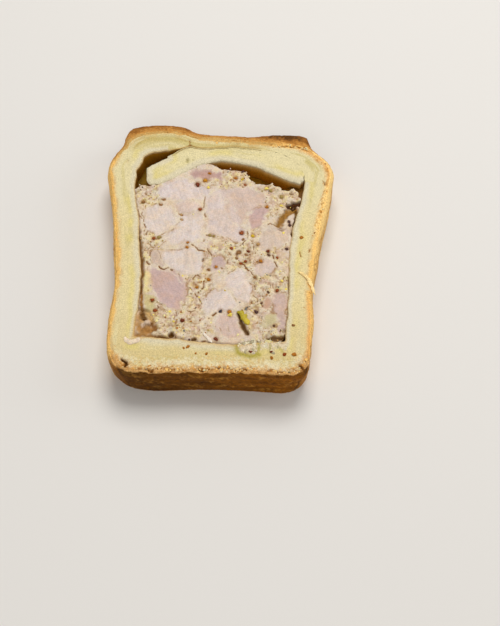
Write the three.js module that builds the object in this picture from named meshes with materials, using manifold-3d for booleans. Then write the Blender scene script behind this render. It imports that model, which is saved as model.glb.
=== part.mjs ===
// A thick slice of pate en croute, lying on one cut face with the other cut face up.
// A pastry crust wraps a coarse forcemeat with chunks of meat, under a pastry lid whose
// left end has come free. Jelly lies low in the spaces that the filling leaves.
// Millimetres, +Z up. +Y runs from the base of the pate to its top. The outlines are drawn
// with y = 0 on the base and x = 0 on the middle line, and the finished group is moved so
// that its origin is the middle of the box that it fills, on the lower cut face.
import * as THREE from "three";
import { mergeVertices } from "three/addons/utils/BufferGeometryUtils.js";
import Module from "manifold-3d";

const wasm = await Module();
wasm.setup();

// Driving dimensions
const SLICE_THICKNESS = 17.5;
const FIT_GAP = 0.35; // between pieces that touch in the real slice
const FILLING_DROP = 0.5; // the filling's cut face lies this far below the pastry's
const RIM_DEPTH = 4.2; // depth over which the skin flares out below the cut face
const RIM_STEPS = 3;
const WALL_STEPS = 3; // rings below the rim
const POINTS_PER_KEY = 3; // sides of the crust's polygon between two given points
const RIM_ROUND = 1.6; // power of the flare: above 1 starts flat and ends upright
const SKIN_WAVE = 0.45; // unevenness of the skin along the loaf
const SKIN_WAVE_RATE = { x: 0.17, y: 0.23, z: 0.4 }; // radians a millimetre
const BASE_ARCH = 1.4; // the base is hollow by this much at the lower cut face
const BASE_HALF_WIDTH = 33; // where the base turns into the walls
const CORNER_TUCK = 2.8; // the base's corners draw in by this much at the lower cut face
const CORNER_REACH = 10;
const CORNER_HALF_WIDTH = 37;

const MEAT_POINTS = 22; // corners of a chunk's outline
const MEAT_SQUARENESS = 2.5; // 2 is an ellipse, more is squarer
const MEAT_WAVES = [
  { lobes: 3, height: 0.05, drift: 1 },
  { lobes: 5, height: 0.03, drift: -1 },
]; // unevenness of a chunk's outline; drift sets it apart from its neighbours
const MEAT_TAPER = 0.95; // size at the lower cut face over size at the upper one
const MEAT_EDGE_DROP = 0.4; // a chunk's rounded edge
const MEAT_EDGE_SHARE = 0.94; // size of the outline where that edge starts
const MEAT_FLAT_SHARE = 0.7; // and where it has become flat

const CRUMB_GRID = 3.2; // spacing of the relief on the forcemeat's cut face
const CRUMB_HEIGHT = 0.45;
const CRUMB_WAVES = [
  { along: [0.93, 0.51], across: [0.61, -1.07], share: 0.6 },
  { along: [1.7, -0.9], across: [0.4, 1.3], share: 0.4 },
];
const SEED_RADIUS = 0.85;
const SEED_SINK = 0.3; // how far a seed's middle lies below the cut face
const STEP = 2.6; // longest side of an outline's polygon
const CUT_PAST = 2; // how far a cutting shape runs past both faces

// The pastry's cut outline, anticlockwise from the middle of the base: x, y on the cut face,
// then how far the skin flares out from there, in x and y.
const CRUST_BASE = [
  [0, 0.4, 0, -0.5],
  [15, -0.1, 0, -0.5],
  [27, -0.5, 0.2, -0.4],
];
const CRUST_RIGHT_WALL = [
  [32, 2.2, 0.9, -0.5],
  [33.4, 8.5, 1, 0],
  [34.4, 20, 1.2, 0],
  [34.6, 34, 1.3, 0],
  [36.8, 51, 1.5, 0],
  [40, 68, 1.7, 0],
  [43.4, 84, 1.8, 0.2],
];
const CRUST_RIGHT_SHOULDER = [
  [44.4, 92, 2, 0.8],
  [42, 97.3, 1.9, 1.5],
  [37.8, 101.3, 1.6, 2.2],
];
const CRUST_RIGHT_FOLD = [
  [34.6, 103, 2.3, 3.9],
  [31.4, 104.2, 3.6, 8.2],
  [24, 105.2, 0.8, 8.2],
  [18.6, 105.9, -0.6, 7.4],
];
const CRUST_TOP = [
  [13, 106.5, 0, 6.2],
  [3, 107.7, 0, 5.4],
  [-7, 108.6, 0, 5],
];
const CRUST_LEFT_FOLD = [
  [-12, 109.3, 0.4, 5.2],
  [-16, 110.8, 0.3, 6.4],
  [-22, 111.7, 0, 6.9],
  [-29, 111.4, -0.4, 7.6],
  [-35, 109.7, -3, 7.6],
  [-38, 107.4, -2.1, 6.2],
];
const CRUST_LEFT_SHOULDER = [
  [-39.8, 104, -1.8, 2.6],
  [-43.2, 98.5, -2.5, 1.6],
  [-44.9, 93.5, -2, 0.4],
];
const CRUST_LEFT_WALL = [
  [-44.2, 86, -1.3, 0],
  [-42, 70, -1.3, 0],
  [-40, 52, -1.4, 0],
  [-39.3, 37, -1.5, 0],
  [-40.7, 20, -1.5, 0],
  [-40.7, 11.5, -1.5, -0.2],
  [-38.8, 5.5, -1.3, -0.6],
  [-35.2, 1.9, -0.9, -1],
];
const CRUST_BASE_LEFT = [
  [-29, 0.6, -0.2, -0.7],
  [-15, 0.6, 0, -0.5],
];

// The inside of the pastry, in stretches that meet at corners
const INNER_BASE = [
  [-31.8, 15.9],
  [-26, 15.2],
  [-14, 14.1],
  [-6, 12.9],
  [8, 12.6],
  [24.3, 13],
];
const INNER_RIGHT = [
  [24.3, 13],
  [25.3, 20],
  [26.2, 36],
  [27, 53],
  [28.4, 62],
  [31.5, 75],
  [33.6, 85],
  [33.9, 88.4],
];
const INNER_SEAM = [
  [33.9, 88.4],
  [31, 95.4],
  [24.5, 100.6],
  [16.5, 102.9],
  [7, 104.2],
  [-2, 104.2],
  [-8, 103.9],
  [-13.3, 105.1],
];
const INNER_FLAP = [
  [-13.3, 105.1],
  [-16.5, 103.7],
  [-24, 102.3],
  [-29.6, 101.3],
  [-32, 99.6],
  [-33.2, 95.4],
  [-35.2, 92.6],
];
const INNER_LEFT = [
  [-35.2, 92.6],
  [-35.2, 86],
  [-33, 70],
  [-31.6, 54],
  [-30.9, 37],
  [-31.3, 24],
  [-31.8, 15.9],
];

// The lid, anticlockwise from the lower corner of its free end
const LID_UNDERSIDE = [
  [-28.8, 85],
  [-24.5, 86],
  [-18.5, 89],
  [-13.5, 92.6],
  [-8.5, 95.2],
  [-3, 97],
  [3, 96.9],
  [11.5, 94.9],
  [20, 91.1],
  [28, 86.8],
  [32, 85.2],
];
const LID_RIGHT_END = [
  [32, 85.2],
  [33.1, 87.6],
];
const LID_LEFT_SLOPE = [
  [-13.8, 104.2],
  [-17.5, 102.3],
  [-20.4, 100],
  [-25, 97.6],
  [-31, 93.2],
];
const LID_FREE_END = [
  [-31, 93.2],
  [-30.4, 89.5],
  [-30.2, 86.6],
  [-28.8, 85],
];
const LID_SEAM_GAP = 0.55; // the crack that shows between the lid and the fold above it

// The filling's top edge, from the right wall to the left one: bare under the lid's arch,
// then close under the lid, then in the space at the lid's free end
const FILLING_ARCH = [
  [30.9, 78.5],
  [30.7, 81],
  [29, 83.3],
  [26.5, 81.9],
  [20.5, 85.1],
  [14.8, 85.2],
  [11, 88.6],
  [9.6, 91.2],
  [2, 93.2],
  [-6.4, 94.6],
];
const FILLING_FREE_END = [
  [-29.4, 84.4],
  [-31.4, 85],
  [-34.3, 83.2],
];
const LEFT_GAP_WIDEST = 1.3; // the filling has shrunk from the left wall
const LEFT_GAP_HEIGHT = 48;
const LEFT_GAP_SPREAD = 15;

// Hollows in the filling's outline, given as the chunks are
const CORNER_HOLLOW = [-30, 19.5, 6.4, 5.6, 100, 0];
const RIGHT_HOLLOW = [27.2, 70.4, 6.6, 1.7, 55, 0];

// Jelly: the part of the free space around a point, up to some depth below the cut face
const JELLY = [
  { name: "jelly_under_lid", at: [17, 89], reach: [17, 12], depth: 8 },
  { name: "jelly_free_end", at: [-28, 94], reach: [9, 12], depth: 8 },
  { name: "jelly_corner", at: [-29, 19.5], reach: [8, 6.5], depth: 2.6 },
  { name: "jelly_right", at: [26, 70], reach: [6, 6], depth: 3.2 },
];

// Chunks: x, y, half length, half width, turn in degrees, and how much wider the far end is
const MEAT = [
  { name: "meat_top", place: [-7, 90.8, 5.2, 1.8, 2, 0] },
  { name: "meat_upper_left", place: [-16.4, 82.3, 4.5, 9.1, 90, -0.22] },
  { name: "meat_left", place: [-24.8, 68.8, 5.7, 6.2, 0, 0.05] },
  { name: "meat_mid_upper", place: [-14.2, 74.2, 4.2, 2, -6, 0] },
  { name: "meat_mid_left", place: [-12.4, 63.6, 6.3, 4.9, 40, 0] },
  { name: "meat_centre", place: [-2, 70.6, 9.2, 4, 92, 0.1] },
  { name: "meat_centre_right", place: [10.2, 77.2, 6.7, 5.9, -20, -0.1] },
  { name: "meat_centre_low", place: [6.4, 64.6, 4.6, 3.3, 62, 0.15] },
  { name: "meat_dark_right", place: [15.6, 67.7, 5.3, 2.5, 62, -0.1] },
  { name: "meat_right", place: [20.4, 59.2, 5, 4, -8, 0] },
  { name: "meat_pale_left", place: [-14.8, 49.2, 7, 4.9, 8, 0.08] },
  { name: "meat_small_left", place: [-25.6, 49.4, 2.3, 1.5, -58, 0] },
  { name: "meat_dark_left", place: [-20.4, 36.2, 7.8, 5, -62, -0.12] },
  { name: "meat_small_centre", place: [-2, 48, 2.6, 2.4, 30, 0] },
  { name: "meat_mid_right", place: [16.6, 46.6, 4.3, 2.9, 10, 0] },
  { name: "meat_low_centre", place: [6.9, 38.8, 5.7, 4.3, 100, -0.1] },
  { name: "meat_low", place: [0, 29.6, 5, 3.5, 10, 0] },
  { name: "meat_bottom", place: [3, 20.1, 4.5, 4.1, 80, 0.1] },
  { name: "meat_low_right", place: [22, 26.8, 7, 1.7, 92, 0] },
  { name: "meat_tan", place: [15.8, 31.4, 2.8, 2.4, 30, 0] },
];

// Mustard seeds that stand out of the forcemeat's cut face: x, y
const SEEDS = [
  [-6.7, 87.2], [5.7, 88.8], [-8.4, 73.2], [18.2, 83.2], [24.2, 79.2], [8.4, 86.4], [20.2, 81],
  [-31.3, 77], [-24.6, 76.8], [18.6, 75.4], [24, 75.2], [-26.5, 59.5], [-24.2, 59.4], [-13, 56],
  [-4.6, 58.6], [8.8, 57.6], [14.6, 56.4], [4.2, 54.6], [10.8, 53.2], [18.7, 53.2], [25.2, 54.2],
  [7, 52.4], [22.6, 50.6], [9.7, 48.8], [7.8, 47.4], [-4.6, 44.6], [13.4, 41.4], [-4.5, 40.2],
  [-9, 37], [18.6, 35.8], [21.8, 36], [-26, 31.2], [-24.4, 26.8], [-13.9, 22.4], [10.2, 28],
  [13.6, 26], [-1.4, 14.8], [20, 18.6], [-10.6, 31.4], [-17, 25],
];
// Seeds dropped on the pastry's cut face: x, y
const CRUST_SEEDS = [[31.6, 59.4], [27.8, 20], [20, 7.2], [24.2, 7.6], [27.8, 7.4], [11.6, 8.6]];
// A sliver of pastry that curls off the right wall: x, y along its length
const SLIVER = [[29.8, 42.8], [33.2, 40], [35.4, 34]];
const SLIVER_WIDTH = 0.9;
const SLIVER_HEIGHT = 0.8;
const SLIVER_ROOT = 1; // how deep it reaches into the wall

// Curves

/** Points along a smooth curve through [x, y] pairs, no further apart than STEP. */
function smooth(pairs) {
  const keys = pairs.map(([x, y]) => new THREE.Vector3(x, y, 0));
  const curve = new THREE.CatmullRomCurve3(keys, false, "centripetal");
  return curve.getSpacedPoints(Math.ceil(curve.getLength() / STEP));
}

/** One closed outline from open stretches, each starting where the last one ends. */
function outline(...stretches) {
  return stretches.flatMap((points) => points.slice(0, -1));
}

/** An anticlockwise outline moved outwards by distance, or inwards if it is negative. */
function grown(points, distance, closed = true) {
  const last = points.length - 1;
  return points.map((point, i) => {
    const before = points[i > 0 ? i - 1 : closed ? last : 0];
    const after = points[i < last ? i + 1 : closed ? 0 : last];
    const along = after.clone().sub(before).normalize();
    return new THREE.Vector3(point.x + along.y * distance, point.y - along.x * distance, 0);
  });
}

/** A lumpy rounded outline, growing by extra all round. */
function lump([x, y, long, wide, turn, taper], extra = 0) {
  const phase = x + y;
  return Array.from({ length: MEAT_POINTS }, (_, i) => {
    const angle = (i / MEAT_POINTS) * 2 * Math.PI;
    const c = Math.cos(angle);
    const s = Math.sin(angle);
    const u = Math.sign(c) * Math.abs(c) ** (2 / MEAT_SQUARENESS);
    const v = Math.sign(s) * Math.abs(s) ** (2 / MEAT_SQUARENESS);
    const swell = MEAT_WAVES.reduce(
      (sum, { lobes, height, drift }) => sum + height * Math.sin(lobes * angle + drift * phase),
      1,
    );
    const point = new THREE.Vector3(
      (long * swell + extra) * u,
      (wide * swell * (1 + taper * u) + extra) * v,
      0,
    );
    point.applyAxisAngle(new THREE.Vector3(0, 0, 1), THREE.MathUtils.degToRad(turn));
    return point.add(new THREE.Vector3(x, y, 0));
  });
}

// Solids

/** A closed geometry through rings of points, given from the lowest to the highest. */
function loft(rings) {
  const count = rings[0].length;
  const flat = rings[0].map((p) => new THREE.Vector2(p.x, p.y));
  const top = rings.at(-1).map((p) => new THREE.Vector2(p.x, p.y));
  const index = [];
  for (const [a, b, c] of THREE.ShapeUtils.triangulateShape(flat, [])) index.push(a, c, b);
  for (let ring = 0; ring + 1 < rings.length; ring++) {
    for (let i = 0; i < count; i++) {
      const low = ring * count + i;
      const lowNext = ring * count + ((i + 1) % count);
      index.push(low, lowNext, lowNext + count, low, lowNext + count, low + count);
    }
  }
  const last = (rings.length - 1) * count;
  for (const [a, b, c] of THREE.ShapeUtils.triangulateShape(top, [])) {
    index.push(last + a, last + b, last + c);
  }
  const geometry = new THREE.BufferGeometry().setFromPoints(rings.flat());
  return geometry.setIndex(index);
}

/** An outline carried straight up from one height to another. */
function prism(points, low, high) {
  const shape = new THREE.Shape(points.map((p) => new THREE.Vector2(p.x, p.y)));
  const upright = { depth: high - low, bevelEnabled: false };
  return new THREE.ExtrudeGeometry(shape, upright).translate(0, 0, low);
}

/** A prism through the whole slice and past both faces, to cut with. */
function cutter(points) {
  return solid(prism(points, -CUT_PAST, SLICE_THICKNESS + CUT_PAST));
}

/** A geometry as a solid that can be joined and cut. */
function solid(geometry) {
  geometry.deleteAttribute("normal");
  geometry.deleteAttribute("uv");
  const merged = mergeVertices(geometry);
  return new wasm.Manifold(
    new wasm.Mesh({
      numProp: 3,
      vertProperties: merged.attributes.position.array,
      triVerts: new Uint32Array(merged.index.array),
    }),
  );
}

/** A solid as a named mesh with its own material. */
function piece(name, body, finish) {
  const made = body.getMesh();
  const geometry = new THREE.BufferGeometry();
  geometry.setAttribute("position", new THREE.BufferAttribute(made.vertProperties, 3));
  geometry.setIndex(new THREE.BufferAttribute(made.triVerts, 1));
  geometry.computeVertexNormals();
  const mesh = new THREE.Mesh(geometry, new THREE.MeshStandardMaterial(finish));
  mesh.name = name;
  return mesh;
}

/** The largest of a solid's separate bodies. */
function largest(body) {
  return body.decompose().sort((a, b) => b.volume() - a.volume())[0];
}

/** A few-sided seed, its middle at a point. */
function seed(x, y, z) {
  return solid(new THREE.OctahedronGeometry(SEED_RADIUS, 1).translate(x, y, z));
}

/** Height of the forcemeat's crumb at a place. */
function crumb(x, y) {
  const waves = CRUMB_WAVES.map(({ along, across, share }) => {
    const first = Math.sin(along[0] * x + along[1] * y);
    return share * first * Math.cos(across[0] * x + across[1] * y);
  });
  return CRUMB_HEIGHT * waves.reduce((sum, wave) => sum + wave);
}

// Outlines shared by neighbours
const innerRight = smooth(INNER_RIGHT);
const innerSeam = smooth(INNER_SEAM);
const innerBase = smooth(INNER_BASE);
const innerLeft = smooth(INNER_LEFT);
const cavity = outline(innerBase, innerRight, innerSeam, smooth(INNER_FLAP), innerLeft);

const lidUnderside = smooth(LID_UNDERSIDE);
const lidTop = grown(innerSeam, -LID_SEAM_GAP, false).slice(1, -1);
const lid = outline(
  lidUnderside,
  smooth(LID_RIGHT_END),
  [...lidTop, new THREE.Vector3(...LID_LEFT_SLOPE[0], 0)],
  smooth(LID_LEFT_SLOPE),
  smooth(LID_FREE_END),
);

/** How far the filling stands off the left wall at a height. */
function leftGap(y) {
  const away = (y - LEFT_GAP_HEIGHT) / LEFT_GAP_SPREAD;
  return FIT_GAP + LEFT_GAP_WIDEST * Math.exp(-away * away);
}

const FILLING_TOP_RIGHT = FILLING_ARCH[0][1];
const FILLING_TOP_LEFT = FILLING_FREE_END.at(-1)[1];
const underLid = lidUnderside
  .filter((p) => p.x < FILLING_ARCH.at(-1)[0] && p.x > FILLING_FREE_END[0][0])
  .map((p) => new THREE.Vector3(p.x + FIT_GAP / 2, p.y - FIT_GAP, 0))
  .reverse();
const filling = [
  ...innerBase.slice(1, -1).map((p) => new THREE.Vector3(p.x, p.y + FIT_GAP, 0)),
  ...innerRight
    .filter((p) => p.y < FILLING_TOP_RIGHT && p.y > innerBase.at(-1).y + FIT_GAP)
    .map((p) => new THREE.Vector3(p.x - FIT_GAP, p.y, 0)),
  ...smooth(FILLING_ARCH),
  ...underLid,
  ...smooth(FILLING_FREE_END),
  ...innerLeft
    .filter((p) => p.y < FILLING_TOP_LEFT && p.y > innerBase[0].y + FIT_GAP)
    .map((p) => new THREE.Vector3(p.x + leftGap(p.y), p.y, 0)),
];

// The pastry crust: base, walls and the two folds over the lid

function crust() {
  const keys = [
    ...CRUST_BASE,
    ...CRUST_RIGHT_WALL,
    ...CRUST_RIGHT_SHOULDER,
    ...CRUST_RIGHT_FOLD,
    ...CRUST_TOP,
    ...CRUST_LEFT_FOLD,
    ...CRUST_LEFT_SHOULDER,
    ...CRUST_LEFT_WALL,
    ...CRUST_BASE_LEFT,
  ];
  const sides = keys.length * POINTS_PER_KEY;
  const through = (pick) =>
    new THREE.CatmullRomCurve3(keys.map(pick), true, "centripetal").getPoints(sides);
  const cut = through(([x, y]) => new THREE.Vector3(x, y, 0)).slice(0, -1);
  const skin = through(([x, y, dx, dy]) => new THREE.Vector3(x + dx, y + dy, 0)).slice(0, -1);

  // A ring part of the way from the skin, at 0, to the cut outline, at 1
  const ring = (share, z) =>
    skin.map((p, i) => {
      const { x, y, z: up } = SKIN_WAVE_RATE;
      const wave = SKIN_WAVE * Math.sin(up * z) * Math.sin(x * p.x + y * p.y + up * z);
      const flare = p.clone().sub(cut[i]).normalize();
      const point = p.clone().lerp(cut[i], share).addScaledVector(flare, wave * (1 - share));
      const across = Math.max(0, 1 - (p.x / BASE_HALF_WIDTH) ** 2);
      const nearBase = p.y < CRUST_RIGHT_WALL[0][1] ? 1 : 0;
      const lower = 1 - z / SLICE_THICKNESS;
      point.y += BASE_ARCH * nearBase * across * lower;
      const corner = Math.hypot(Math.abs(p.x) - CORNER_HALF_WIDTH, p.y) / CORNER_REACH;
      const inwards = new THREE.Vector3(-Math.sign(p.x), 1, 0).normalize();
      point.addScaledVector(inwards, CORNER_TUCK * Math.exp(-corner * corner) * lower);
      point.z = z;
      return point;
    });

  const rimStart = SLICE_THICKNESS - RIM_DEPTH;
  const rings = [];
  for (let i = 0; i < WALL_STEPS; i++) rings.push(ring(0, (rimStart * i) / WALL_STEPS));
  for (let i = 0; i <= RIM_STEPS; i++) {
    const depth = 1 - i / RIM_STEPS;
    rings.push(ring((1 - depth) ** RIM_ROUND, SLICE_THICKNESS - RIM_DEPTH * depth));
  }
  let body = solid(loft(rings));
  body = body.subtract(cutter(cavity));

  for (const [x, y] of CRUST_SEEDS) body = body.add(seed(x, y, SLICE_THICKNESS));
  const sliver = [
    ...grown(smooth(SLIVER), SLIVER_WIDTH / 2, false),
    ...grown(smooth(SLIVER), -SLIVER_WIDTH / 2, false).reverse(),
  ];
  const root = SLICE_THICKNESS - SLIVER_ROOT;
  const strip = prism(sliver, root, SLICE_THICKNESS + SLIVER_HEIGHT);
  return largest(body.add(solid(strip)));
}

// The chunks of meat and the forcemeat that holds them

function meat(place) {
  const top = SLICE_THICKNESS - FILLING_DROP;
  const [x, y] = place;
  const middle = new THREE.Vector3(x, y, 0);
  const edge = lump(place);
  const ring = (share, z) =>
    edge.map((p) => p.clone().sub(middle).multiplyScalar(share).add(middle).setZ(z));
  return solid(
    loft([
      ring(MEAT_TAPER, 0),
      ring(1, top - 2 * MEAT_EDGE_DROP),
      ring(MEAT_EDGE_SHARE, top - MEAT_EDGE_DROP / 2),
      ring(MEAT_FLAT_SHARE, top),
    ]),
  );
}

function forcemeat() {
  const box = new THREE.Box3().setFromPoints(filling);
  const size = box.getSize(new THREE.Vector3());
  const middle = box.getCenter(new THREE.Vector3());
  const top = SLICE_THICKNESS - FILLING_DROP;
  const depth = 2 * SLICE_THICKNESS;
  const slab = new THREE.BoxGeometry(
    size.x + 2 * CRUMB_GRID,
    size.y + 2 * CRUMB_GRID,
    depth,
    Math.ceil(size.x / CRUMB_GRID) + 2,
    Math.ceil(size.y / CRUMB_GRID) + 2,
    1,
  );
  slab.translate(middle.x, middle.y, top - depth / 2);
  const at = slab.attributes.position;
  for (let i = 0; i < at.count; i++) {
    if (at.getZ(i) > 0) at.setZ(i, top + crumb(at.getX(i), at.getY(i)));
  }
  let body = solid(prism(filling, 0, SLICE_THICKNESS + CUT_PAST)).intersect(solid(slab));
  body = body.subtract(cutter(lump(CORNER_HOLLOW))).subtract(cutter(lump(RIGHT_HOLLOW)));
  for (const [x, y] of SEEDS) body = body.add(seed(x, y, top + crumb(x, y) - SEED_SINK));
  for (const { place } of MEAT) body = body.subtract(cutter(lump(place, FIT_GAP)));
  return largest(body);
}

// Jelly in the spaces between filling, lid and crust

function freeSpace() {
  const space = solid(prism(grown(cavity, -FIT_GAP), 0, SLICE_THICKNESS));
  const fillingRoom = cutter(grown(filling, FIT_GAP))
    .subtract(cutter(lump(CORNER_HOLLOW, -FIT_GAP)))
    .subtract(cutter(lump(RIGHT_HOLLOW, -FIT_GAP)));
  return space.subtract(cutter(grown(lid, FIT_GAP))).subtract(fillingRoom);
}

function jelly(space, { at: [x, y], reach: [rx, ry], depth }) {
  const block = new THREE.BoxGeometry(2 * rx, 2 * ry, SLICE_THICKNESS - depth);
  return largest(space.intersect(solid(block.translate(x, y, (SLICE_THICKNESS - depth) / 2))));
}

// The slice

const PASTRY = { color: 0xe2d3a0, roughness: 0.8, metalness: 0 };
const FORCEMEAT = { color: 0xd8c3a0, roughness: 0.6, metalness: 0 };
const PALE_MEAT = { color: 0xe3cfc4, roughness: 0.5, metalness: 0 };
const DARK_MEAT = { color: 0xcbb0ac, roughness: 0.5, metalness: 0 };
const BROWN_JELLY = { color: 0x5a3a12, roughness: 0.2, metalness: 0 };

const slice = new THREE.Group();
slice.add(piece("pastry_crust", crust(), PASTRY));
slice.add(piece("pastry_lid", solid(prism(lid, 0, SLICE_THICKNESS)), PASTRY));
slice.add(piece("forcemeat", forcemeat(), FORCEMEAT));
for (const { name, place } of MEAT) {
  const dark = /dark|top|small/.test(name);
  slice.add(piece(name, meat(place), dark ? DARK_MEAT : PALE_MEAT));
}
const space = freeSpace();
for (const pocket of JELLY) slice.add(piece(pocket.name, jelly(space, pocket), BROWN_JELLY));

const extent = new THREE.Box3().setFromObject(slice);
const centre = extent.getCenter(new THREE.Vector3());
slice.position.set(-centre.x, -centre.y, -extent.min.z);

export default slice;
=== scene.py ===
import itertools
import math

import bmesh
import bpy
import numpy as np
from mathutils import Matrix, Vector
from mathutils.geometry import delaunay_2d_cdt
from mathutils.kdtree import KDTree


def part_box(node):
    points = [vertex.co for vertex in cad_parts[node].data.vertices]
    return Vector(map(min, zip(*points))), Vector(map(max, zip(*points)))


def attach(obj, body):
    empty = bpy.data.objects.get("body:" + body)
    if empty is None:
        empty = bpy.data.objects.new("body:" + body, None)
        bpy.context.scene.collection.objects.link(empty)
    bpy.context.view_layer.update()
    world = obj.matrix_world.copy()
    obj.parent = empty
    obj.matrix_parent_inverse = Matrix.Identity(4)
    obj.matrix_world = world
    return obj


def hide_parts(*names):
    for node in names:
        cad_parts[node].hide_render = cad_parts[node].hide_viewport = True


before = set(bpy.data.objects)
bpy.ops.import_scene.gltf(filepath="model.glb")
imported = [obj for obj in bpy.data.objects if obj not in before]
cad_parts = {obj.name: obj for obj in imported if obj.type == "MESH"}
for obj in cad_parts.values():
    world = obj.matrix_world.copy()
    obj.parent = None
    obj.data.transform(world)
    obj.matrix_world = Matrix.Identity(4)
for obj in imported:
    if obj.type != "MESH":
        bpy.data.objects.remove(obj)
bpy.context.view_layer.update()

MM = 0.001
rng = np.random.default_rng(7)

# Sizes of the slice
CUT_FACE = 17.5  # height of the pastry's upper cut face
FILLING_FACE = 17.0  # height of the filling's upper cut face
SKIN_LEVELS = (0.02, 4.4, 8.8, 13.3, 14.7, 16.1, 17.45)  # heights at which the skin is read
# Details were measured from the middle of the view; this moves them to the part's frame
MEASURED = np.array([11.84, -24.05])


def rgb(red, green, blue):
    """A colour given as it looks on screen, 0 to 255, as linear values."""
    share = np.array([red, green, blue]) / 255
    return np.where(share <= 0.04045, share / 12.92, ((share + 0.055) / 1.055) ** 2.4)


# Colours of the pastry
CREAM = rgb(223, 205, 153)
PALE_CREAM = rgb(221, 207, 160)
LOW_CREAM = rgb(215, 194, 138)
FOLD_CREAM = rgb(207, 190, 133)
FOLD_SHADE = rgb(188, 163, 94)
DAMP = rgb(217, 205, 172)
FLAKE = rgb(228, 216, 180)
YOLK = rgb(220, 202, 126)
OLIVE = rgb(202, 186, 122)
PEACH = rgb(228, 194, 134)
GOLD = rgb(244, 196, 114)
# painted light: the gold is paler on the right, where the light falls
GOLD_PAINTED_LIT = rgb(254, 214, 138)
CROWN_GOLD = rgb(212, 170, 100)
BASE_GOLD = rgb(208, 160, 98)
ORANGE_GOLD = rgb(232, 176, 102)
TOAST = rgb(196, 138, 66)
BROWN = rgb(156, 100, 38)
DARK_BROWN = rgb(92, 55, 16)
BASE_BROWN = rgb(120, 71, 8)
BASE_DARK = rgb(92, 52, 6)
FLOUR = rgb(162, 118, 52)
SEAM = rgb(124, 90, 22)
# Damp, jelly-stained pastry walls, darkened with painted shade
WALL_DAMP_AND_SHADE = rgb(204, 160, 82)
WALL_DEEP_STAIN_AND_SHADE = rgb(168, 114, 20)

# Colours of the filling
FARCE = rgb(215, 195, 168)
SMOOTH_FARCE = rgb(219, 200, 181)
CREAMY = rgb(231, 217, 186)
TAN = rgb(190, 160, 124)
GREY_OLIVE = rgb(176, 163, 132)
ROSY = rgb(203, 172, 155)
YELLOWISH = rgb(224, 205, 146)
# Painted shade in the filling's creases, pores, split edges, cracks and clefts, and round the seeds
CREVICE_SHADE = rgb(158, 115, 70)
CRACK_SHADE = rgb(112, 66, 26)
CLEFT_SHADE = rgb(124, 92, 52)
CLEFT_DEEP_SHADE = rgb(74, 46, 18)
FILM = rgb(229, 214, 192)
RIM = rgb(200, 171, 156)
DEEP_JELLY = rgb(176, 133, 36)
# painted shade in the notch at the lid's right end
JELLY_END_PAINTED_SHADE = rgb(108, 68, 18)
# brown juice, and painted shade in the gaps along the walls and under the filling's lower edge
JUICE_AND_GAP_SHADE = rgb(122, 84, 38)
SMEAR = rgb(166, 150, 48)
MEAT_SHADE = np.array([0.92, 0.91, 0.89])  # meat is a little darker than it seems beside its films

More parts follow.
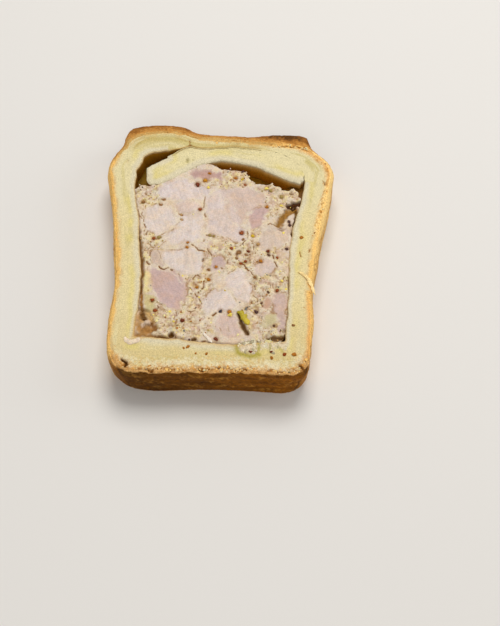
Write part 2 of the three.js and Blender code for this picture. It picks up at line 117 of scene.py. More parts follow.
# Fine detail that was measured: cracks are width, darkness, then points along them
CRACKS = [
    (0.6, 0.6, (-44.8, 38), (-44.2, 36), (-43.8, 34)),
    (0.5, 0.6, (-43.2, 36.5), (-43, 34.5), (-42.6, 32.2)),
    (0.4, 0.5, (-37.6, 44.8), (-37.8, 43.8)),
    (0.7, 0.8, (-36.9, 41.2), (-36, 40.6), (-35.2, 40.9)),
    (0.7, 0.6, (-35, 43.2), (-34.3, 43)),
    (0.5, 0.5, (-23.3, 42.8), (-22.8, 42)),
    (0.6, 0.6, (-28.4, 36.2), (-27.5, 35.7), (-26.9, 35.5)),
    (0.7, 0.5, (-28, 33.5), (-27.2, 33.2), (-26.6, 32.9)),
    (0.8, 0.6, (-42, 46.3), (-41.8, 45.2)),
    (0.6, 0.6, (-18.2, 44), (-18.5, 42.4), (-18.6, 41), (-18.5, 39.2)),
    (0.8, 0.65, (-17.9, 36.5), (-17.8, 35), (-17.4, 33.6)),
    (0.8, 0.7, (-11.3, 57.6), (-10.9, 56)),
    (0.7, 0.5, (-10.2, 50.3), (-9, 50), (-8, 50.2)),
    (0.8, 0.6, (-6.9, 52.6), (-6.5, 52)),
    (0.6, 0.5, (-19.2, 50.3), (-18.7, 49.7)),
    (0.6, 0.7, (15.5, 44.1), (15.5, 43.7)),
    (1.2, 0.5, (16.2, 45.8), (17.2, 45.6)),
    (0.6, 0.4, (3.5, 39.9), (4.6, 39.8)),
    (0.5, 0.5, (9.8, 38.9), (9.9, 38)),
    (0.5, 0.5, (10.5, 37), (10.6, 36.3)),
    (0.8, 0.8, (-42.4, 31), (-41.4, 29.7)),
    (0.5, 0.6, (-42, 28.6), (-41.7, 27.8)),
    (0.5, 0.6, (-40.5, 28), (-41.1, 26.3)),
    (0.6, 0.55, (-40.2, 22.8), (-38.5, 20.4), (-36.3, 20), (-35.3, 21.3), (-33.4, 22.9)),
    (0.6, 0.5, (-28.6, 32), (-30.4, 28.8), (-32.5, 27.1), (-35, 25.8)),
    (0.7, 0.6, (-38.5, 18.2), (-38.9, 16.7), (-39.3, 15.8)),
    (0.9, 0.75, (-40.3, 13.5), (-39.5, 11.8)),
    (0.6, 0.6, (-39.7, 10.8), (-39.8, 9.8)),
    (0.45, 0.45, (-36.4, 18.9), (-35.4, 16.2), (-34.2, 14), (-32.8, 11.7)),
    (0.75, 0.9, (-35.3, 11), (-34.4, 10.1), (-33, 10), (-31.8, 10.4), (-30, 9.4)),
    (0.5, 0.45, (-32.6, 18.8), (-30.5, 18.6), (-28.5, 18.7), (-25.8, 20)),
    (0.8, 0.75, (-22.6, 21.7), (-21, 20.2), (-20.3, 18.8), (-18, 18.2)),
    (0.9, 0.7, (-18.4, 14.8), (-18.5, 13.8)),
    (0.5, 0.5, (-27.6, 8), (-26.8, 7)),
    (0.7, 0.7, (-22, 5.8), (-21.4, 7.2), (-20.2, 7.6), (-19.2, 7)),
    (0.8, 0.7, (-17, 26), (-16, 26.2), (-15, 25.6)),
    (0.7, 0.6, (-18.5, 23.6), (-18.4, 22.8)),
    (0.4, 0.4, (-9, 24.8), (-7.6, 23.4), (-5.4, 21.9)),
    (0.6, 0.75, (-6, 20.5), (-4.6, 20.5), (-3.4, 21), (-2.4, 22), (-2, 23)),
    (0.6, 0.6, (-1, 27.6), (-0.7, 26), (-1.1, 24.6)),
    (0.5, 0.7, (0.2, 23.7), (0.9, 22), (1, 20.8), (1.5, 19)),
    (0.7, 0.6, (-9.7, 21.7), (-9.4, 21.5)),
    (0.7, 0.7, (-16.4, 19.8), (-16, 18), (-15.2, 16.5)),
    (0.5, 0.5, (-15.3, 15.6), (-15.4, 14)),
    (0.8, 0.5, (-8.6, 17.6), (-7.6, 16.8)),
    (0.9, 0.85, (-5.2, 17.9), (-4, 18.3), (-3.6, 17)),
    (0.8, 0.5, (-5.4, 17), (-5.4, 15.3)),
    (0.7, 0.75, (-2, 17), (-0.7, 16.4)),
    (0.8, 0.55, (-8.7, 12.6), (-8.2, 14), (-7, 14.7)),
    (0.7, 0.8, (-3.3, 13), (-2.2, 12), (-1.6, 10.8), (-0.6, 9.6)),
    (0.5, 0.5, (-5.8, 10.2), (-7, 9), (-8.6, 8), (-9.6, 6.8)),
    (0.5, 0.7, (0, 9), (1, 7.8), (2, 6.4), (2.6, 5.5)),
    (0.9, 0.6, (-11.6, 10.5), (-11, 10.3)),
    (0.6, 0.5, (-14.3, 8.2), (-15.8, 7.4)),
    (0.7, 0.6, (6.9, 30.5), (8, 31.1), (9.4, 30.8), (10.6, 30.2)),
    (0.5, 0.7, (12.2, 19), (13.3, 20.2), (14.1, 21.8)),
    (0.55, 0.8, (8.5, 16.6), (9.2, 15), (9.9, 13), (10.4, 11.6)),
    (0.5, 0.7, (-35.4, -4.6), (-34.6, -5.4), (-33.2, -5.5)),
    (0.6, 0.7, (-35, -6), (-34.8, -7)),
    (0.6, 0.6, (-23.4, 1.6), (-22.4, 0.8), (-21.8, 0)),
    (0.9, 0.8, (-20.9, -1), (-20.2, -1.8), (-19.6, -0.4)),
    (0.6, 0.8, (-18, 3.5), (-18.1, 2.3), (-18.6, 0.9)),
    (0.7, 0.75, (-19.3, -3), (-18.9, -4.2), (-18.2, -5.2)),
    (0.7, 0.7, (-24.7, -7.7), (-23.8, -8.7), (-22.3, -9), (-20.4, -8.1)),
    (0.5, 0.5, (-23.8, -6.4), (-22.8, -5.4)),
    (0.7, 0.6, (-28, -9), (-27.9, -10)),
    (0.6, 0.6, (-24.9, -14), (-25.3, -15)),
    (0.9, 0.5, (-32, -15), (-30.6, -15.2)),
    (1.4, 0.8, (-29.4, -18), (-29, -18.8)),
    (1.2, 0.8, (-21.4, -20.3), (-20.3, -20.2)),
    (0.9, 0.7, (-19.5, -21.6), (-17, -21.6), (-14.8, -21.2), (-15.5, -20.2)),
    (0.9, 0.85, (-15.6, -11.4), (-14.2, -10.4), (-13, -9.5)),
    (0.5, 0.45, (-12, -14.5), (-11.2, -16.4), (-10.4, -18), (-10, -19.6)),
    (0.5, 0.4, (-8.2, -15), (-7.8, -17), (-6.8, -18)),
    (0.5, 0.55, (-7.2, -0.2), (-6.2, -1.6), (-5.3, -3.4), (-5, -4.6)),
    (0.8, 0.6, (-0.3, 4.4), (0.2, 3.4)),
    (0.6, 0.7, (1.8, 3), (1.9, 0.5)),
    (0.5, 0.55, (1.4, -1.6), (2.5, -3), (2.8, -4.6)),
    (0.8, 0.5, (9, 3.5), (9, 1.5)),
    (0.9, 0.55, (10.4, 3.4), (10.3, 1.8)),
    (0.8, 0.7, (4.1, -4.6), (4.7, -6.4)),
    (1.5, 1, (-4.2, -10), (-3.4, -12), (-2.6, -15), (-1.6, -16.5), (-0.6, -18.4)),
    (1.6, 1, (6.8, -20.7), (8, -19.9), (10, -20.4), (12.4, -20.2)),
    (0.9, 0.8, (12.6, -20.6), (13.2, -18.6), (13.6, -17)),
    (0.5, 0.5, (5.1, -18.5), (5, -20), (5.4, -22)),
    (0.9, 0.6, (13.4, 7.5), (12.5, 5.6)),
    (0.5, 0.6, (13.4, 3.6), (13.4, 2.4)),
]
# Pale films and shreds of fat that lie in the filling: width, strength, points
FILMS = [
    (0.7, 0.8, (-30, 38.4), (-29.4, 36)),
    (0.8, 0.8, (-17.2, 31.4), (-16.9, 28)),
    (0.6, 0.6, (-2.6, 33.6), (-2.5, 29)),
    (0.9, 0.9, (-0.6, 33), (0, 28), (-0.2, 25)),
    (0.7, 0.9, (-37.4, 0.6), (-36, -1.6), (-34.6, -4.2)),
    (0.9, 0.7, (-18.2, -14.6), (-16.8, -10.6)),
    (0.8, 0.6, (-30.4, 26), (-33, 24.6), (-35, 24.4)),
    (0.7, 0.6, (-34, 9.2), (-31, 8.8), (-28, 6.8), (-26, 3)),
    (0.6, 0.5, (-12, 45.4), (-16, 45), (-17.6, 42)),
    (0.6, 0.5, (10.6, 26), (9, 29), (5, 29.6)),
    (0.7, 0.5, (-24.4, 12), (-21, 9), (-15, 8.6)),
    (0.6, 0.5, (-7, -1), (-5.6, 2.4), (-3, 4)),
    (0.7, 0.6, (-16.6, -4), (-16.4, -8), (-13, -8.4)),
]
# Chunks of meat, fat and smooth patches as they show at the cut: colour, then outline
AREAS = [
    (rgb(194, 159, 150), (-24.5, 54.8), (-22.5, 56.8), (-19, 57.6), (-15, 57.2), (-12, 56),
     (-11.6, 54.2), (-14, 53), (-18, 53.4), (-21.5, 53.6)),
    (rgb(223, 206, 198), (-36.8, 47.5), (-34, 51), (-29.5, 52.8), (-25, 52.3), (-22, 50.2),
     (-18.5, 48.6), (-16.2, 47.2), (-16.8, 45), (-19, 43.6), (-24, 43), (-30, 43), (-35.5, 44)),
    (rgb(221, 199, 186), (-30, 41.2), (-26, 42.2), (-22, 41.4), (-20.6, 39.5), (-22, 37), (-25, 36.6),
     (-28.8, 37.5)),
    (rgb(225, 208, 196), (-41.8, 38), (-38, 39.8), (-34, 39.4), (-31.2, 37.5), (-29.9, 34.8),
     (-30, 32), (-31.5, 29.2), (-34.5, 27), (-37.5, 26.8), (-40, 28.5), (-41.7, 31.5), (-42.1, 35)),
    (rgb(225, 208, 197), (-27, 35), (-23, 35.6), (-19.4, 34.8), (-18.7, 31), (-19, 27), (-20, 24.4),
     (-23.5, 23.4), (-27, 22.6), (-31, 22.4), (-32.8, 24.4), (-31.2, 27), (-28.6, 29.5), (-27.8, 32)),
    (rgb(221, 202, 192), (-16.8, 45.5), (-14.5, 47.6), (-11.4, 47.6), (-10, 44), (-10.2, 40),
     (-9.4, 36), (-7.8, 32), (-5, 30.4), (-2.6, 29), (-2, 26.6), (-2.4, 23.8), (-4.4, 22.4),
     (-6.4, 22.6), (-8.8, 24.2), (-12, 26.2), (-15.4, 27), (-16.6, 30), (-17, 35), (-17.6, 39.5),
     (-17.6, 43)),
    (rgb(215, 190, 174), (-8.7, 47.3), (-5, 48.8), (-1, 48.4), (3.2, 47), (5.8, 44.6), (6.4, 42),
     (5, 40.2), (2, 38.8), (-0.7, 37.2), (-2, 34), (-4, 31.3), (-6.4, 31), (-8.1, 34), (-9.4, 38),
     (-9.7, 42.5)),
    (rgb(203, 172, 164), (-0.4, 29.4), (-0.4, 32.6), (0, 35), (1.4, 36.6), (3.8, 38), (5.8, 38.6),
     (7.4, 38.5), (7, 36.8), (5.6, 34.8), (4.2, 32.4), (3.2, 30.6), (2, 28.7), (0.6, 28)),
    (rgb(217, 195, 176), (2.8, 22.6), (4.6, 27), (7.2, 30), (11, 29.8), (14, 28.6), (15.2, 26),
     (14.4, 23), (12, 20.6), (8.6, 19.4), (5.4, 19), (3.2, 20.2)),
    (rgb(224, 207, 195), (-33.6, 17.5), (-31, 18.8), (-27, 19.2), (-23.5, 19.8), (-20.8, 19),
     (-18.7, 16.5), (-18.2, 12.5), (-19.6, 8.8), (-22.5, 7.6), (-26, 8), (-29, 9.6), (-31.6, 11.4),
     (-33.2, 14)),
    (rgb(207, 184, 168), (-39.2, 18), (-36.6, 18.6), (-35, 16), (-33.2, 12.4), (-33.8, 10.8),
     (-36.6, 11.2), (-38.6, 13.5)),
    (rgb(203, 174, 166), (-38.7, 9.8), (-35, 10), (-31.5, 9.6), (-28, 8), (-25.8, 5), (-24.8, 1),
     (-25.4, -3.5), (-27, -7.4), (-29.4, -7.8), (-31.4, -6.5), (-32.4, -4), (-33.4, -5.2), (-34.8, -4),
     (-36.6, -0.5), (-38.2, 3), (-38.8, 6.5)),
    (rgb(203, 176, 168), (-15.6, 12), (-14, 15.6), (-11.5, 15.8), (-10.2, 13.6), (-10.6, 11), (-13, 10)),
    (rgb(217, 196, 182), (1.8, 9), (2.2, 12), (4.4, 14), (7.5, 15.4), (9.2, 13.6), (9.6, 10.4),
     (8.4, 8.2), (5, 7.4)),
    (rgb(225, 207, 195), (-9.8, 5.6), (-7.6, 8.3), (-4.4, 9.6), (-2, 8.6), (-0.4, 6), (0.4, 2.6),
     (0.6, -1.4), (-0.8, -4), (-3.6, -4.4), (-5, -2), (-6.6, 0.6), (-9, 2)),
    (rgb(224, 206, 194), (-16.6, -1.5), (-14, 0.6), (-11, 1), (-8.4, -0.6), (-6.2, -2.6), (-5.2, -5.4),
     (-6, -8), (-8.6, -9), (-11, -8.2), (-13.4, -9.2), (-16, -10.8), (-17.4, -8), (-17.2, -4.5)),
    (rgb(214, 188, 174), (-11.9, -10.6), (-9, -10.4), (-6.2, -11), (-4.4, -13), (-3.6, -16),
     (-4.4, -18.6), (-7, -19.4), (-10, -19), (-12.4, -16.8), (-12.9, -13.4)),
    (rgb(208, 180, 166), (8.2, -2.4), (10.4, 0), (13.2, -0.6), (13.9, -6), (13.6, -12), (12.8, -16.6),
     (11.2, -16), (10, -12), (9.2, -8)),
    (rgb(203, 166, 142), (5, -4), (6.2, -2.6), (8.4, -3), (8.8, -6), (7, -7.8), (5.2, -7.2)),
    (rgb(234, 215, 158), (-41, 8.5), (-39.8, 9.6), (-38.9, 6), (-38.5, 3.5), (-38.7, 0.2), (-40, -0.6),
     (-41.1, 3.5)),
    (rgb(208, 192, 142), (-39.9, -1), (-37.6, -1.6), (-35.6, -5.6), (-36.4, -9), (-39.8, -8.5)),
    (rgb(204, 187, 142), (5, -11), (9.4, -10), (10.2, -13), (8.6, -15.6), (5.4, -14.6)),
    (rgb(218, 196, 183), (-11.2, 47.4), (-8.2, 47.6), (-7.4, 43), (-6.4, 38.4), (-4, 34.6), (-2.2, 31.4),
     (-5.4, 30.2), (-7.6, 33), (-9.6, 37.6), (-11, 42.5)),
]
# Brown juices, jelly and painted shade in the filling's hollows: colour, depth, softness, width, points
STAINS_AND_SHADE = [
    # brown juice and painted shade in the left gap
    (rgb(146, 100, 44), 0.5, 0.6, 1.3, (-41.7, 2), (-41.4, -3), (-41.2, -6), (-41.1, -9.4)),
    (rgb(180, 138, 86), 0.3, 0.9, 5.2, (-42, -11), (-41.6, -15), (-40, -17.6)),
    (rgb(166, 118, 62), 0.3, 0.9, 4.2, (-39.8, -16), (-37.2, -16.2)),
    (rgb(194, 156, 100), 0.5, 0.8, 2.4, (-38.2, -9.8), (-37.3, -12), (-36.8, -13.6)),
    # painted shade in a small hole
    (rgb(102, 68, 30), 0.6, 0.7, 2.1, (-40.9, -10), (-40.2, -11.4)),
    (rgb(136, 92, 46), 0.5, 0.9, 2.3, (-37.2, -14.2), (-35.4, -15.8)),
    (rgb(206, 180, 154), -0.6, 0.5, 2.0, (-40.3, -14.2), (-39, -13.4)),
    # the brown rows along the lower edge are painted shade in the groove under the filling
    (rgb(156, 114, 62), 0.4, 0.9, 1.6, (-42, -18.8), (-39.4, -18.7), (-37.3, -19.1), (-35.6, -19.2)),
    (rgb(220, 200, 168), -0.4, 0.4, 1.4, (-36.2, -18), (-34.7, -18.3), (-33.3, -18.9)),
    (rgb(136, 96, 46), 0.6, 0.7, 1.2, (-34.4, -19.8), (-31, -19.9)),
    (rgb(104, 66, 22), 0.9, 0.5, 1.7, (-30.2, -18.5), (-29.2, -18.9)),
    (rgb(148, 104, 42), 0.8, 0.5, 2.8, (17.6, 38), (15, 36.6), (13.2, 34.8), (12.2, 32.6), (11.8, 30.8)),
    (rgb(140, 104, 48), 1.2, 0.4, 1.3, (18.4, 37), (18.2, 33), (17.4, 29.8), (16.8, 25.8)),
    # painted shade at the top of the right pit
    (rgb(74, 38, 2), 1.2, 0.3, 2.7, (15.4, 39.4), (17.4, 40.6), (20, 40.8)),
]
# Where the forcemeat is coarse and full of bits: middle and half sizes
COARSE = [
    (4, -13, 4.5, 8),
    (-41, 46, 5.5, 7),
    (-8, 53, 9, 5.5),
    (11, 43, 10, 8),
    (-3, 18, 16, 10.5),
    (-27, -12, 13, 9.5),
    (-20, 3, 6.5, 8.5),
    (8, -7, 9, 19),
    (-39, 22, 4.5, 9),
]

# Mustard seeds by colour: x, y, width
SEED_COLOURS = {
    "red": rgb(143, 67, 15),
    "dark_red": rgb(113, 46, 11),
    "amber": rgb(184, 124, 18),
    "orange": rgb(174, 107, 20),
    "brown": rgb(144, 100, 54),
    "yellow": rgb(238, 214, 98),
    "cream": rgb(236, 222, 154),
    "olive": rgb(160, 135, 74),
    "gold": rgb(203, 168, 38),
    "purple": rgb(80, 50, 42),
    "dark": rgb(98, 66, 42),
    "navy": rgb(58, 50, 58),
    "grey": rgb(128, 122, 112),
    "tan": rgb(184, 142, 84),
}
FILLING_SEEDS = {
    "red": [(-20, 38.2, 1.6), (-38, 24.5, 1.5), (-3.3, 27, 1.9), (-7.3, 19.6, 1.2), (-3.7, 12.7, 1.3),
            (-1.8, 13.5, 1.3), (10.6, 15.4, 1.1), (-1.8, 50.3, 1.2), (-37.4, -3.8, 1.6),
            (-35.9, -8.2, 1.5), (10.3, 0.4, 1.6)],
    "dark_red": [(-21.3, 50.6, 2.2), (-0.7, 18.3, 1.3), (7.2, 18.4, 1.5), (-25.4, -12.6, 1.6),
                 (-12.7, -20.5, 1.7)],
    "amber": [(-18.2, 52.4, 1.9)],
    "orange": [(-16.5, 56.1, 1.3), (-24.5, 22.4, 1.1), (-24.8, 20.3, 1.4), (6.8, 39.5, 1.5),
               (-16, 5.2, 1.8), (-20.5, 2, 1.6), (-7.9, -8.8, 1.4), (-13.3, 11.1, 1.4), (4.2, 13.8, 1.7),
               (-5.8, 53.8, 1.6)],
    "brown": [(-43, 42, 1.7), (-36, 40.7, 1.4), (-34.8, 43.1, 1.2),
              (-2.7, 23.8, 1.1), (-5.2, 15, 1.2), (-4.5, 17.6, 1.6), (-1.6, 16.7, 1.2), (0.5, -4.6, 1.1),
              (1.9, 6.5, 1.4), (-16, 9.9, 1.3)],
    "yellow": [(-16.8, 49.1, 1.3), (12.6, 40.2, 1.4), (6.6, 48.4, 1.6), (-7.5, -10.2, 1.7)],
    "olive": [(12.7, 44.3, 1.7), (8.5, 47.3, 1.5), (-35.9, 24.8, 1.5), (-15.8, 25.8, 1.3),
              (-14.3, 25.3, 1.2)],
    "gold": [(-3, 53, 1.3), (1.3, 25.5, 1.5)],
    "purple": [(-3, 57, 1.3), (14.5, 19.5, 1.4), (15.5, 32.2, 1.3), (15.8, 30.5, 1.4), (2.4, -8.7, 1.7)],
    "dark": [(7.3, 16.6, 1.3), (4.4, -5, 1.1), (9, -14.8, 1.1), (7, -0.3, 1)],
    "navy": [(-11.2, -8.5, 1.6)],
    "grey": [(-1.5, -7.6, 1.3)],
    "tan": [(3.1, 21.6, 1.5), (-27.5, 35.6, 1), (-27.3, 33.3, 1)],
}
PASTRY_SEEDS = {
    "orange": [(20.3, 24.3, 1.6), (8, -28.8, 1.5), (16.3, -27.5, 1.6), (-23, -24, 1.5),
               (-24.6, -24.6, 0.9), (-20.1, -26.8, 0.8), (-16.1, -27, 1.1)],
    "brown": [(16.2, -15, 1.4)],
    "red": [(12.7, -27.3, 1.5)],
    "dark_red": [(0.2, -26.2, 1.6), (8, -26.2, 1.4)],
}
# Smaller bits of seed, spice and fat in the filling: x, y, width
BITS = {
    "yellow": [(-30.3, -8.8, 1.2), (-19.4, -2.6, 1), (-26, 7, 1), (13.3, 26.8, 1), (13.8, 1, 1.3),
               (12.3, 4.7, 1.2), (-28.8, -13, 1.1)],
    "cream": [(-32.3, -10.5, 1.1), (-29, -11, 1), (-35.2, -12.8, 1.3), (-22.6, 35.8, 1), (12.5, 13.2, 1),
              (-12, 9, 1), (-14.6, -13.6, 1.1), (-4.6, -18.8, 1.1)],
    "gold": [(-9.6, 0.4, 1)],
    "olive": [(-15.6, -16.8, 1.2), (-42.2, 49.7, 0.7), (-39.4, 26, 0.5), (-38.9, 14.2, 0.7),
              (0.2, 13, 0.8), (-16.6, -3.6, 0.6)],
    "purple": [(-43.7, 49, 0.9), (-22.7, -20.8, 0.9)],
    "grey": [(-9, 56.7, 0.9), (7.4, 47.2, 0.7), (7.6, 46, 0.7), (-18.6, 14.5, 0.9), (-38.2, 2.7, 0.6),
             (-24.8, -17, 1.2), (-3.9, -4.8, 0.7), (6.5, 7.5, 0.8), (7.8, 7, 0.8)],
    "tan": [(4.5, 16.7, 0.9), (-39, 0.6, 0.7)],
    "brown": [(2.6, 13.6, 1), (-17.8, 4.5, 1), (-18.9, -12.6, 1)],
    "orange": [(-26.2, -9, 1), (-27.2, -16, 1.2), (-22.2, -13, 0.8)],
    "dark": [(-20.6, -7.3, 0.8), (4, 5.7, 0.6), (11.5, -16.8, 0.7)],
}
# Finer specks strewn in the coarse places: colour and its share
SPECKS = [("brown", 0.24), ("tan", 0.24), ("dark", 0.07), ("orange", 0.08), ("olive", 0.1),
          ("grey", 0.07), ("yellow", 0.07), ("cream", 0.13)]
SPECK_COUNT = 640
SPECK_TRIES = 12  # places tried for each
SPECK_GRAIN = (0.85, 1.01)  # a place is used if its grain is above a random value in this range
SPECK_WIDTH = 0.45
SPECK_SPREAD = 0.3  # of the logarithm of the width
SPECK_SINK = 0.05
SPECK_INSET = 0.6  # least distance from the filling's edge


# Noise, the same on every run

AXIS_PRIMES = (374761393, 668265263, 1440662683)
SEED_PRIME = 1274126177
WORD = 0xFFFFFFFF  # keeps 32 bits
HALF_WORD = 0xFFFF


def chance(lattice, seed):
    """A fixed random number from 0 to 1 for each whole-numbered lattice point."""
    mixed = np.full(len(lattice), seed * SEED_PRIME, np.int64)
    for axis in range(lattice.shape[1]):
        mixed = (mixed + lattice[:, axis] * AXIS_PRIMES[axis]) & WORD
    mixed = ((mixed ^ (mixed >> 13)) * SEED_PRIME) & WORD
    return ((mixed ^ (mixed >> 16)) & HALF_WORD) / HALF_WORD


def noise(points, size, seed=0):
    """Smooth noise from -1 to 1, with lumps about size across."""
    at = points / size
    corner = np.floor(at).astype(np.int64)
    part = at - corner
    part = part * part * (3 - 2 * part)
    total = np.zeros(len(points))
    for step in itertools.product((0, 1), repeat=points.shape[1]):
        weight = np.prod(np.where(step, part, 1 - part), axis=1)
        total += weight * chance(corner + np.array(step), seed)
    return 2 * total - 1


def rough(points, size, seed=0, octaves=3):
    """Noise summed over finer and finer lumps."""
    total = sum(noise(points, size / 2**k, seed + k) / 2**k for k in range(octaves))
    return total / (2 - 2 ** (1 - octaves))


def ease(low, high, value):
    """0 below low, 1 above high, and smooth between; high may be below low."""
    share = np.clip((value - low) / (high - low), 0, 1)
    return share * share * (3 - 2 * share)


def mix(first, second, share):
    """From the first colour to the second, by a share for each point."""
    return first + (second - first) * np.clip(share, 0, 1)[:, None]


def plain(colour, count):
    """One colour for each of a number of points."""
    return np.repeat(colour[None], count, axis=0)


def painted(tint, *coats):
    """Coats laid over one another, each a colour and its share at each point."""
    for colour, share in coats:
        tint = mix(tint, colour, share)
    return tint


# Outlines


def section(node, height):
    """Where a CAD node crosses a height: closed outlines, the longest first."""
    cut = bmesh.new()
    cut.from_mesh(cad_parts[node].data)
    bmesh.ops.remove_doubles(cut, verts=cut.verts, dist=1e-7)
    everything = cut.verts[:] + cut.edges[:] + cut.faces[:]
    plane = {"plane_co": (0, 0, height * MM), "plane_no": (0, 0, 1)}
    made = bmesh.ops.bisect_plane(cut, geom=everything, dist=1e-9, **plane)["geom_cut"]
    following = {}
    for edge in made:
        if isinstance(edge, bmesh.types.BMEdge):
            a, b = edge.verts
            following.setdefault(a, []).append(b)
            following.setdefault(b, []).append(a)
    outlines = []
    while following:
        start = next(iter(following))
        loop = [start]
        step = following.pop(start)[0]
        while step in following:
            loop.append(step)
            onward = following.pop(step)
            step = onward[0] if onward[0] in following else onward[-1]
        outlines.append(np.array([[v.co.x, v.co.y] for v in loop]) / MM)
    cut.free()
    return sorted(outlines, key=lambda loop: -np.ptp(loop, axis=0).sum())


def run_length(points):
    """How far along a line each of its points lies."""
    return np.concatenate([[0], np.cumsum(np.linalg.norm(np.diff(points, axis=0), axis=1))])


def even(loop, spacing, soften):
    """A closed outline, anticlockwise, with even spacing and its corners softened."""
    area = np.sum(loop[:, 0] * np.roll(loop[:, 1], -1) - loop[:, 1] * np.roll(loop[:, 0], -1))
    ring = loop if area > 0 else loop[::-1]
    ring = np.vstack([ring, ring[:1]])
    length = run_length(ring)
    count = max(8, round(length[-1] / spacing))
    at = np.arange(count) * length[-1] / count
    wave = np.fft.fft(np.interp(at, length, ring[:, 0]) + 1j * np.interp(at, length, ring[:, 1]))
    pitch = np.fft.fftfreq(count, length[-1] / count) * 2 * np.pi
    soft = np.fft.ifft(wave * np.exp(-0.5 * (pitch * soften) ** 2))
    return np.stack([soft.real, soft.imag], axis=1)


OUTLINE_STEP = 0.4  # spacing of the points of measured and CAD outlines


def outline(points, soften):
    """A closed outline through measured places, in the part's frame."""
    return even(np.array(points, float) + MEASURED, OUTLINE_STEP, soften)


WARP = ((5.0, 0.4, 21), (1.8, 0.2, 31))  # size, reach and seed of the waves in the cut edges


def warped(xy, waves=WARP):
    """Outlines made uneven; neighbours move together, so they still meet."""
    moved = xy.copy()
    for size, reach, seed in waves:
        moved[:, 0] += reach * noise(xy, size, seed)
        moved[:, 1] += reach * noise(xy, size, seed + 5)
    return moved


def line(points, spacing):
    """Even points along an open line of measured places, in the part's frame."""
    keys = np.array(points, float) + MEASURED
    length = run_length(keys)
    at = np.linspace(0, length[-1], max(2, round(length[-1] / spacing) + 1))
    return np.stack([np.interp(at, length, keys[:, k]) for k in (0, 1)], axis=1)


def around(xy, shape, margin):
    """Which points lie in the box round a shape, and how far they are from its nearest point."""
    near = np.flatnonzero(np.all((xy > shape.min(0) - margin) & (xy < shape.max(0) + margin), axis=1))
    return near, np.linalg.norm(xy[near, None] - shape[None], axis=2).min(axis=1, initial=99)


def nearest(xy, marks):
    """How far each point is from the nearest of some others, and which one that is."""
    tree = KDTree(len(marks))
    for i, p in enumerate(marks):
        tree.insert((*p, 0), i)
    tree.balance()
    found = [tree.find((*p, 0)) for p in xy]
    return np.array([f[2] for f in found]), np.array([f[1] for f in found])


MARK_STEP = 0.25  # spacing of the points along a mark


def strokes(xy, marks, slim=1.0):
    """How strongly marks show at each point, from 0 to 1; slim is a share of their width."""
    shown = np.zeros(len(xy))
    for width, strength, *points in marks:
        near, away = around(xy, line(points, MARK_STEP), 1.6 * width)
        shown[near] = np.maximum(shown[near], strength * np.exp(-((2 * away / width / slim) ** 2)))
    return shown


def blot(xy, soft, width, *points):
    """1 on a ragged stroke of some width and 0 off it; soft is the share of the width that fades."""
    shown = np.zeros(len(xy))
    near, away = around(xy, line(points, MARK_STEP), 1.3 * width)
    shown[near] = ease(1 + soft, 1 - soft, 2 * away / width + 0.6 * rough(xy[near], 1.2, 140))
    return shown


def inside(xy, loop):
    """Which points lie inside a closed outline."""
    found = np.zeros(len(xy), bool)
    near = np.flatnonzero(np.all((xy >= loop.min(0)) & (xy <= loop.max(0)), axis=1))
    x, y = xy[near].T
    odd = np.zeros(len(near), bool)
    for (x0, y0), (x1, y1) in zip(loop, np.roll(loop, -1, axis=0)):
        crosses = (y0 > y) != (y1 > y)
        if y1 != y0:
            odd ^= crosses & (x < x0 + (y - y0) * (x1 - x0) / (y1 - y0))
    found[near] = odd
    return found


FAR = -9.0  # depth given to points that lie well outside an outline


def depth_inside(xy, loop):
    """How deep each point lies inside a closed outline, below 0 outside."""
    depth = np.full(len(xy), FAR)
    near, away = around(xy, loop, 2.0)
    depth[near] = np.where(inside(xy[near], loop), away, -away)
    return depth


# Meshes

FINE_STEP = 0.25  # from a mark to the closer points on both its sides
FINE_ALONG = 0.2  # spacing of these points along the mark
# Shares of a mesh's spacing
ROW_STEP = 0.866  # from one row of points to the next
UNEVEN = 0.2  # most random move of a point
RIM_CLEAR = 0.55  # least distance from a point to an outline
MARK_CLEAR = 0.5  # and to a mark


def band(above, below):
    """Four-sided faces between two rings of point numbers."""
    return np.column_stack([above, below, np.roll(below, -1), np.roll(above, -1)]).tolist()


